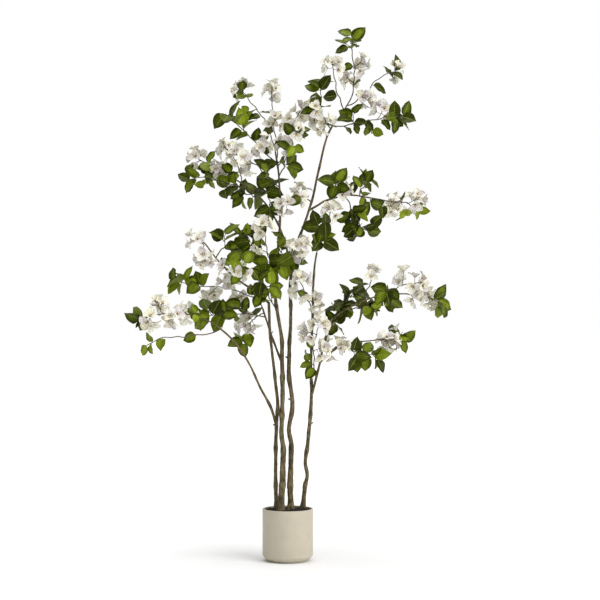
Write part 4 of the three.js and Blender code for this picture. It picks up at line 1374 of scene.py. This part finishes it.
def build_limb(name, limb, line, bark, number):
    random = np.random.default_rng(BARK_SEED + number)
    points = smooth_route(limb["route"], BARK_STEP)
    radius = bark_radii(limb, line, len(points), random)
    rooted = "parent" not in limb
    if rooted:
        flare = np.clip(1 - (points[:, 2] - SOIL_TOP) / FLARE_HEIGHT, 0.0, 1.0)
        radius = radius * (1 + FLARE_GAIN * flare ** FLARE_CURVE)
    before = points[:1] - (points[1] - points[0]) * LIMB_SINK
    after = points[-1:] + (points[-1:] - points[-2:-1]) * LIMB_TIP
    points = np.concatenate([before, points, after])
    radius = np.concatenate([radius[:1] * LIMB_SINK_RADIUS, radius, [LIMB_TIP_RADIUS]])
    grid = bark_grid(points, radius, random)
    if rooted:
        grid[..., 2] = np.maximum(grid[..., 2], SOIL_TOP - STEM_SINK)
    piece = Pieces(name + "_bark", [bark], "bark")
    piece.add(grid[None], [0], closed=True)
    for k, share in enumerate(limb["stubs"]):
        piece.add(stub_grid(line, share, k), [0], closed=True)
    piece.build([name])


# Twigs, leaves and blooms
def all_blooms(sprays):
    return [bloom for spray in sprays for cluster in clusters_of(spray) for bloom in cluster["blooms"]]


def heart_of(bloom):
    """Where a bloom's stalk ends and its flowers begin"""
    return bloom["base"] + bloom["way"] * (bloom["stalk"] + STALK_INTO)


def all_leaves(sprays):
    leaves = []
    for spray in sprays:
        own = list(spray["side_leaves"])
        for cluster in clusters_of(spray):
            own += cluster["leaves"]
        for leaf in own:
            leaf["tone"] = LEAF_TONES[spray["name"].split("_")[0]]
        leaves += own
    return leaves


def stalk_tubes(ends):
    """Thin stalks between pairs of ends, which sag a little"""
    ends = np.array(ends)
    t = np.linspace(0.0, 1.0, len(STALK_RADII))[None, :, None]
    points = ends[:, :1] * (1 - t) + ends[:, 1:] * t
    points[:, 1:-1, 2] -= STALK_SAG
    return tubes(points, np.broadcast_to(STALK_RADII, points.shape[:2]), STALK_SIDES)


def build_twigs(sprays, replaced):
    random = np.random.default_rng(TWIG_SEED)
    twigs = Pieces("twigs", [twig_material(*row) for row in TWIG_COLOURS], "foliage")
    taper = np.linspace(STEM_RADIUS * TWIG_GAIN, STEM_TIP_RADIUS * TWIG_GAIN, STEM_STEPS + 1)
    for spray in sprays:
        radii = taper * random.uniform(*TWIG_THICKNESS, len(taper))
        twigs.add(tubes(spray["fine"][None], radii[None], STEM_SIDES), [0], closed=True)
        for twig in spray["twigs"]:
            radii = np.linspace(*TWIG_RADII, TWIG_STEPS + 1)
            twigs.add(tubes(twig["fine"][None], radii[None], TWIG_SIDES), [0], closed=True)
    stalks = [[bloom["base"], heart_of(bloom)] for bloom in all_blooms(sprays)]
    petioles = [[leaf["petiole"], leaf["base"] + leaf["way"] * PETIOLE_INTO] for leaf in all_leaves(sprays)]
    twigs.add(stalk_tubes(stalks), [1], closed=True)
    twigs.add(stalk_tubes(petioles), [1], closed=True)
    twigs.build(replaced)


def leaf_tints(leaves, random):
    """The material of each face of each leaf, with a lighter middle as painted highlight, side veins and a
    darker edge as painted shade on some
    """
    count = len(leaves)
    rows, columns = len(LEAF_ROWS) - 1, len(LEAF_COLUMNS) - 1
    grown = np.array([random.choice([DEEP, MIDDLE, BRIGHT], p=leaf["tone"]) for leaf in leaves])
    young = random.choice([BRIGHT, YOUNG], count, p=YOUNG_TONES)
    tint = np.where([leaf["tint"] == "young" for leaf in leaves], young, grown)
    tints = np.repeat(tint[:, None], rows * columns, axis=1).reshape(-1, rows, columns)
    # Painted highlight: the middle of some leaves one green lighter
    lighter = random.uniform(0.0, 1.0, count) < PAINTED_HIGHLIGHT_MIDDLE
    tints[lighter, 1:rows - 2, 1:columns - 1] = np.minimum(tint[lighter] + 1, YOUNG)[:, None, None]
    veined = random.uniform(0.0, 1.0, count) < VEINED_SHARE
    for row in VEIN_ROWS:
        tints[veined, row] = np.minimum(tints[veined, row] + 1, YOUNG)
    # Painted shade: the outer columns of some leaves one green darker
    shaded_edge = random.uniform(0.0, 1.0, count) < PAINTED_SHADE_EDGE_SHARE
    for side in (0, -1):
        tints[shaded_edge, :, side] = np.maximum(tints[shaded_edge, :, side] - 1, DEEP)
    tints[:, :, columns // 2] = RIB
    return tints.reshape(count, -1)


def build_leaves(sprays, replaced):
    random = np.random.default_rng(LEAF_SEED)
    leaves = all_leaves(sprays)
    upper, under = leaf_patches(leaves, random)
    materials = [leaf_material(*row) for row in LEAF_COLOURS]
    blades = Pieces("leaves", materials, "foliage")
    blades.add(upper, leaf_tints(leaves, random), flipped=True)
    blades.build(replaced)
    undersides = Pieces("leaf_undersides", materials, "foliage")
    undersides.add(under, [UNDER])
    undersides.build(replaced)


def build_blooms(sprays, replaced):
    random = np.random.default_rng(BLOOM_SEED)
    blooms = all_blooms(sprays)
    grids = bract_patches(blooms, random)
    rows, columns = len(BRACT_STATIONS) - 1, len(BRACT_COLUMNS) - 1
    grids = grids.reshape(-1, rows + 1, columns + 1, 3)
    count = len(grids)
    # Painted shade: a share of the bracts take the grey-lilac white
    tint = random.choice([WHITE, CREAM, LILAC_SHADE], count, p=BRACT_TONES)
    tints = np.repeat(tint[:, None], rows * columns, axis=1).reshape(-1, rows, columns)
    tints[:, 0] = BASE
    for column in BRACT_VEINS:
        seen = random.uniform(0.0, 1.0, count) < STREAK_SHARE
        tints[seen, STAIN_ROWS:STREAK_ROWS, column] = STREAK
        tints[seen, :STAIN_ROWS, column] = STAIN
    bracts = Pieces("bracts", [bract_material(*row) for row in BRACT_COLOURS], "foliage")
    bracts.add(grids, tints.reshape(count, -1))
    bracts.build(replaced)
    build_flowers(blooms, replaced)


def build_flowers(blooms, replaced):
    """Three small tubular flowers in the middle of each bloom"""
    random = np.random.default_rng(FLOWER_SEED)
    lines = []
    for bloom in blooms:
        for i in range(FLOWER_COUNT):
            azimuth = bloom["turn"] + FLOWER_TURN + i * FULL_TURN / FLOWER_COUNT
            way = leaned(bloom["way"], azimuth, random.uniform(*FLOWER_LEAN))
            lines.append(heart_of(bloom) + way * (FLOWER_PLACES[:, None] * random.uniform(*FLOWER_LENGTH)))
    points = np.array(lines)
    radii = np.broadcast_to(FLOWER_RADII, points.shape[:2])
    tints = np.zeros((len(points), len(FLOWER_RADII) - 1, FLOWER_SIDES), int)
    tints[:, FLOWER_FLARE:] = 1
    flowers = Pieces("flowers", [bract_material(*row) for row in FLOWER_COLOURS], "foliage")
    flowers.add(tubes(points, radii, FLOWER_SIDES), tints.reshape(len(points), -1), closed=True)
    flowers.build(replaced)


# Stage
def build_floor():
    half = FLOOR_SIZE / 2
    mesh = bpy.data.meshes.new("floor")
    corners = [(-half, -half, 0), (half, -half, 0), (half, half, 0), (-half, half, 0)]
    mesh.from_pydata(corners, [], [(0, 1, 2, 3)])
    mesh.materials.append(floor_material())
    floor = in_scene("floor", mesh)


def light_world():
    """White to the camera, softer as a light"""
    world = bpy.data.worlds.new("studio")
    world.use_nodes = True
    bpy.context.scene.world = world
    tree = world.node_tree
    white = (1.0, 1.0, 1.0, 1.0)
    shown = node(tree, "ShaderNodeBackground", Color=white, Strength=1.0)
    lit = node(tree, "ShaderNodeBackground", Color=white, Strength=WORLD_LIGHT)
    path = tree.nodes.new("ShaderNodeLightPath")
    mix = tree.nodes.new("ShaderNodeMixShader")
    join(tree, path, "Is Camera Ray", mix, "Fac")
    join(tree, lit, "Background", mix, 1)
    join(tree, shown, "Background", mix, 2)
    join(tree, mix, "Shader", tree.nodes["World Output"], "Surface")


def add_sun(name, toward, strength, softness):
    """A distant soft light that shines from the given direction"""
    data = bpy.data.lights.new(name, "SUN")
    data.energy = strength
    data.angle = math.radians(softness)
    from_here = unit(np.array(toward, float))
    pitch = math.acos(float(from_here[2]))
    heading = math.atan2(float(from_here[1]), float(from_here[0]))
    lamp = in_scene(name, data)
    lamp.rotation_euler = (0.0, pitch, heading)
    lamp.location = tuple(float(c) * LAMP_DISTANCE for c in from_here)


def add_camera():
    data = bpy.data.cameras.new("camera")
    data.lens = CAMERA_LENS
    data.sensor_width = CAMERA_SENSOR
    data.clip_end = CAMERA_CLIP
    camera = in_scene("camera", data)
    camera.location = CAMERA_PLACE
    camera.rotation_euler = (math.pi / 2, 0.0, 0.0)
    bpy.context.scene.camera = camera


def build_plant():
    lines = {name: limb_line(limb) for name, limb in LIMBS.items()}
    room = Room()
    for name, line in lines.items():
        points, radii = line["points"], line["radii"]
        for i in range(1, len(points)):
            room.add([stretch_box(points[i - 1], points[i], max(radii[i - 1], radii[i]), name)])
    sprays = [grow_stem(row, number, lines, room) for number, row in enumerate(SPRAYS)]
    for spray in sprays:
        grow_twigs(spray, room)
    grow_finer(sprays, room)
    bark = bark_material()
    for number, (name, limb) in enumerate(LIMBS.items()):
        build_limb(name, limb, lines[name], bark, number)
    replaced = ["spray_" + row[0] for row in SPRAYS]
    build_twigs(sprays, replaced)
    build_leaves(sprays, replaced)
    build_blooms(sprays, replaced)


build_pot()
build_soil()
build_plant()
build_floor()
add_camera()
light_world()
for sun in SUNS:
    add_sun(*sun)
bpy.context.scene.view_settings.view_transform = "Standard"
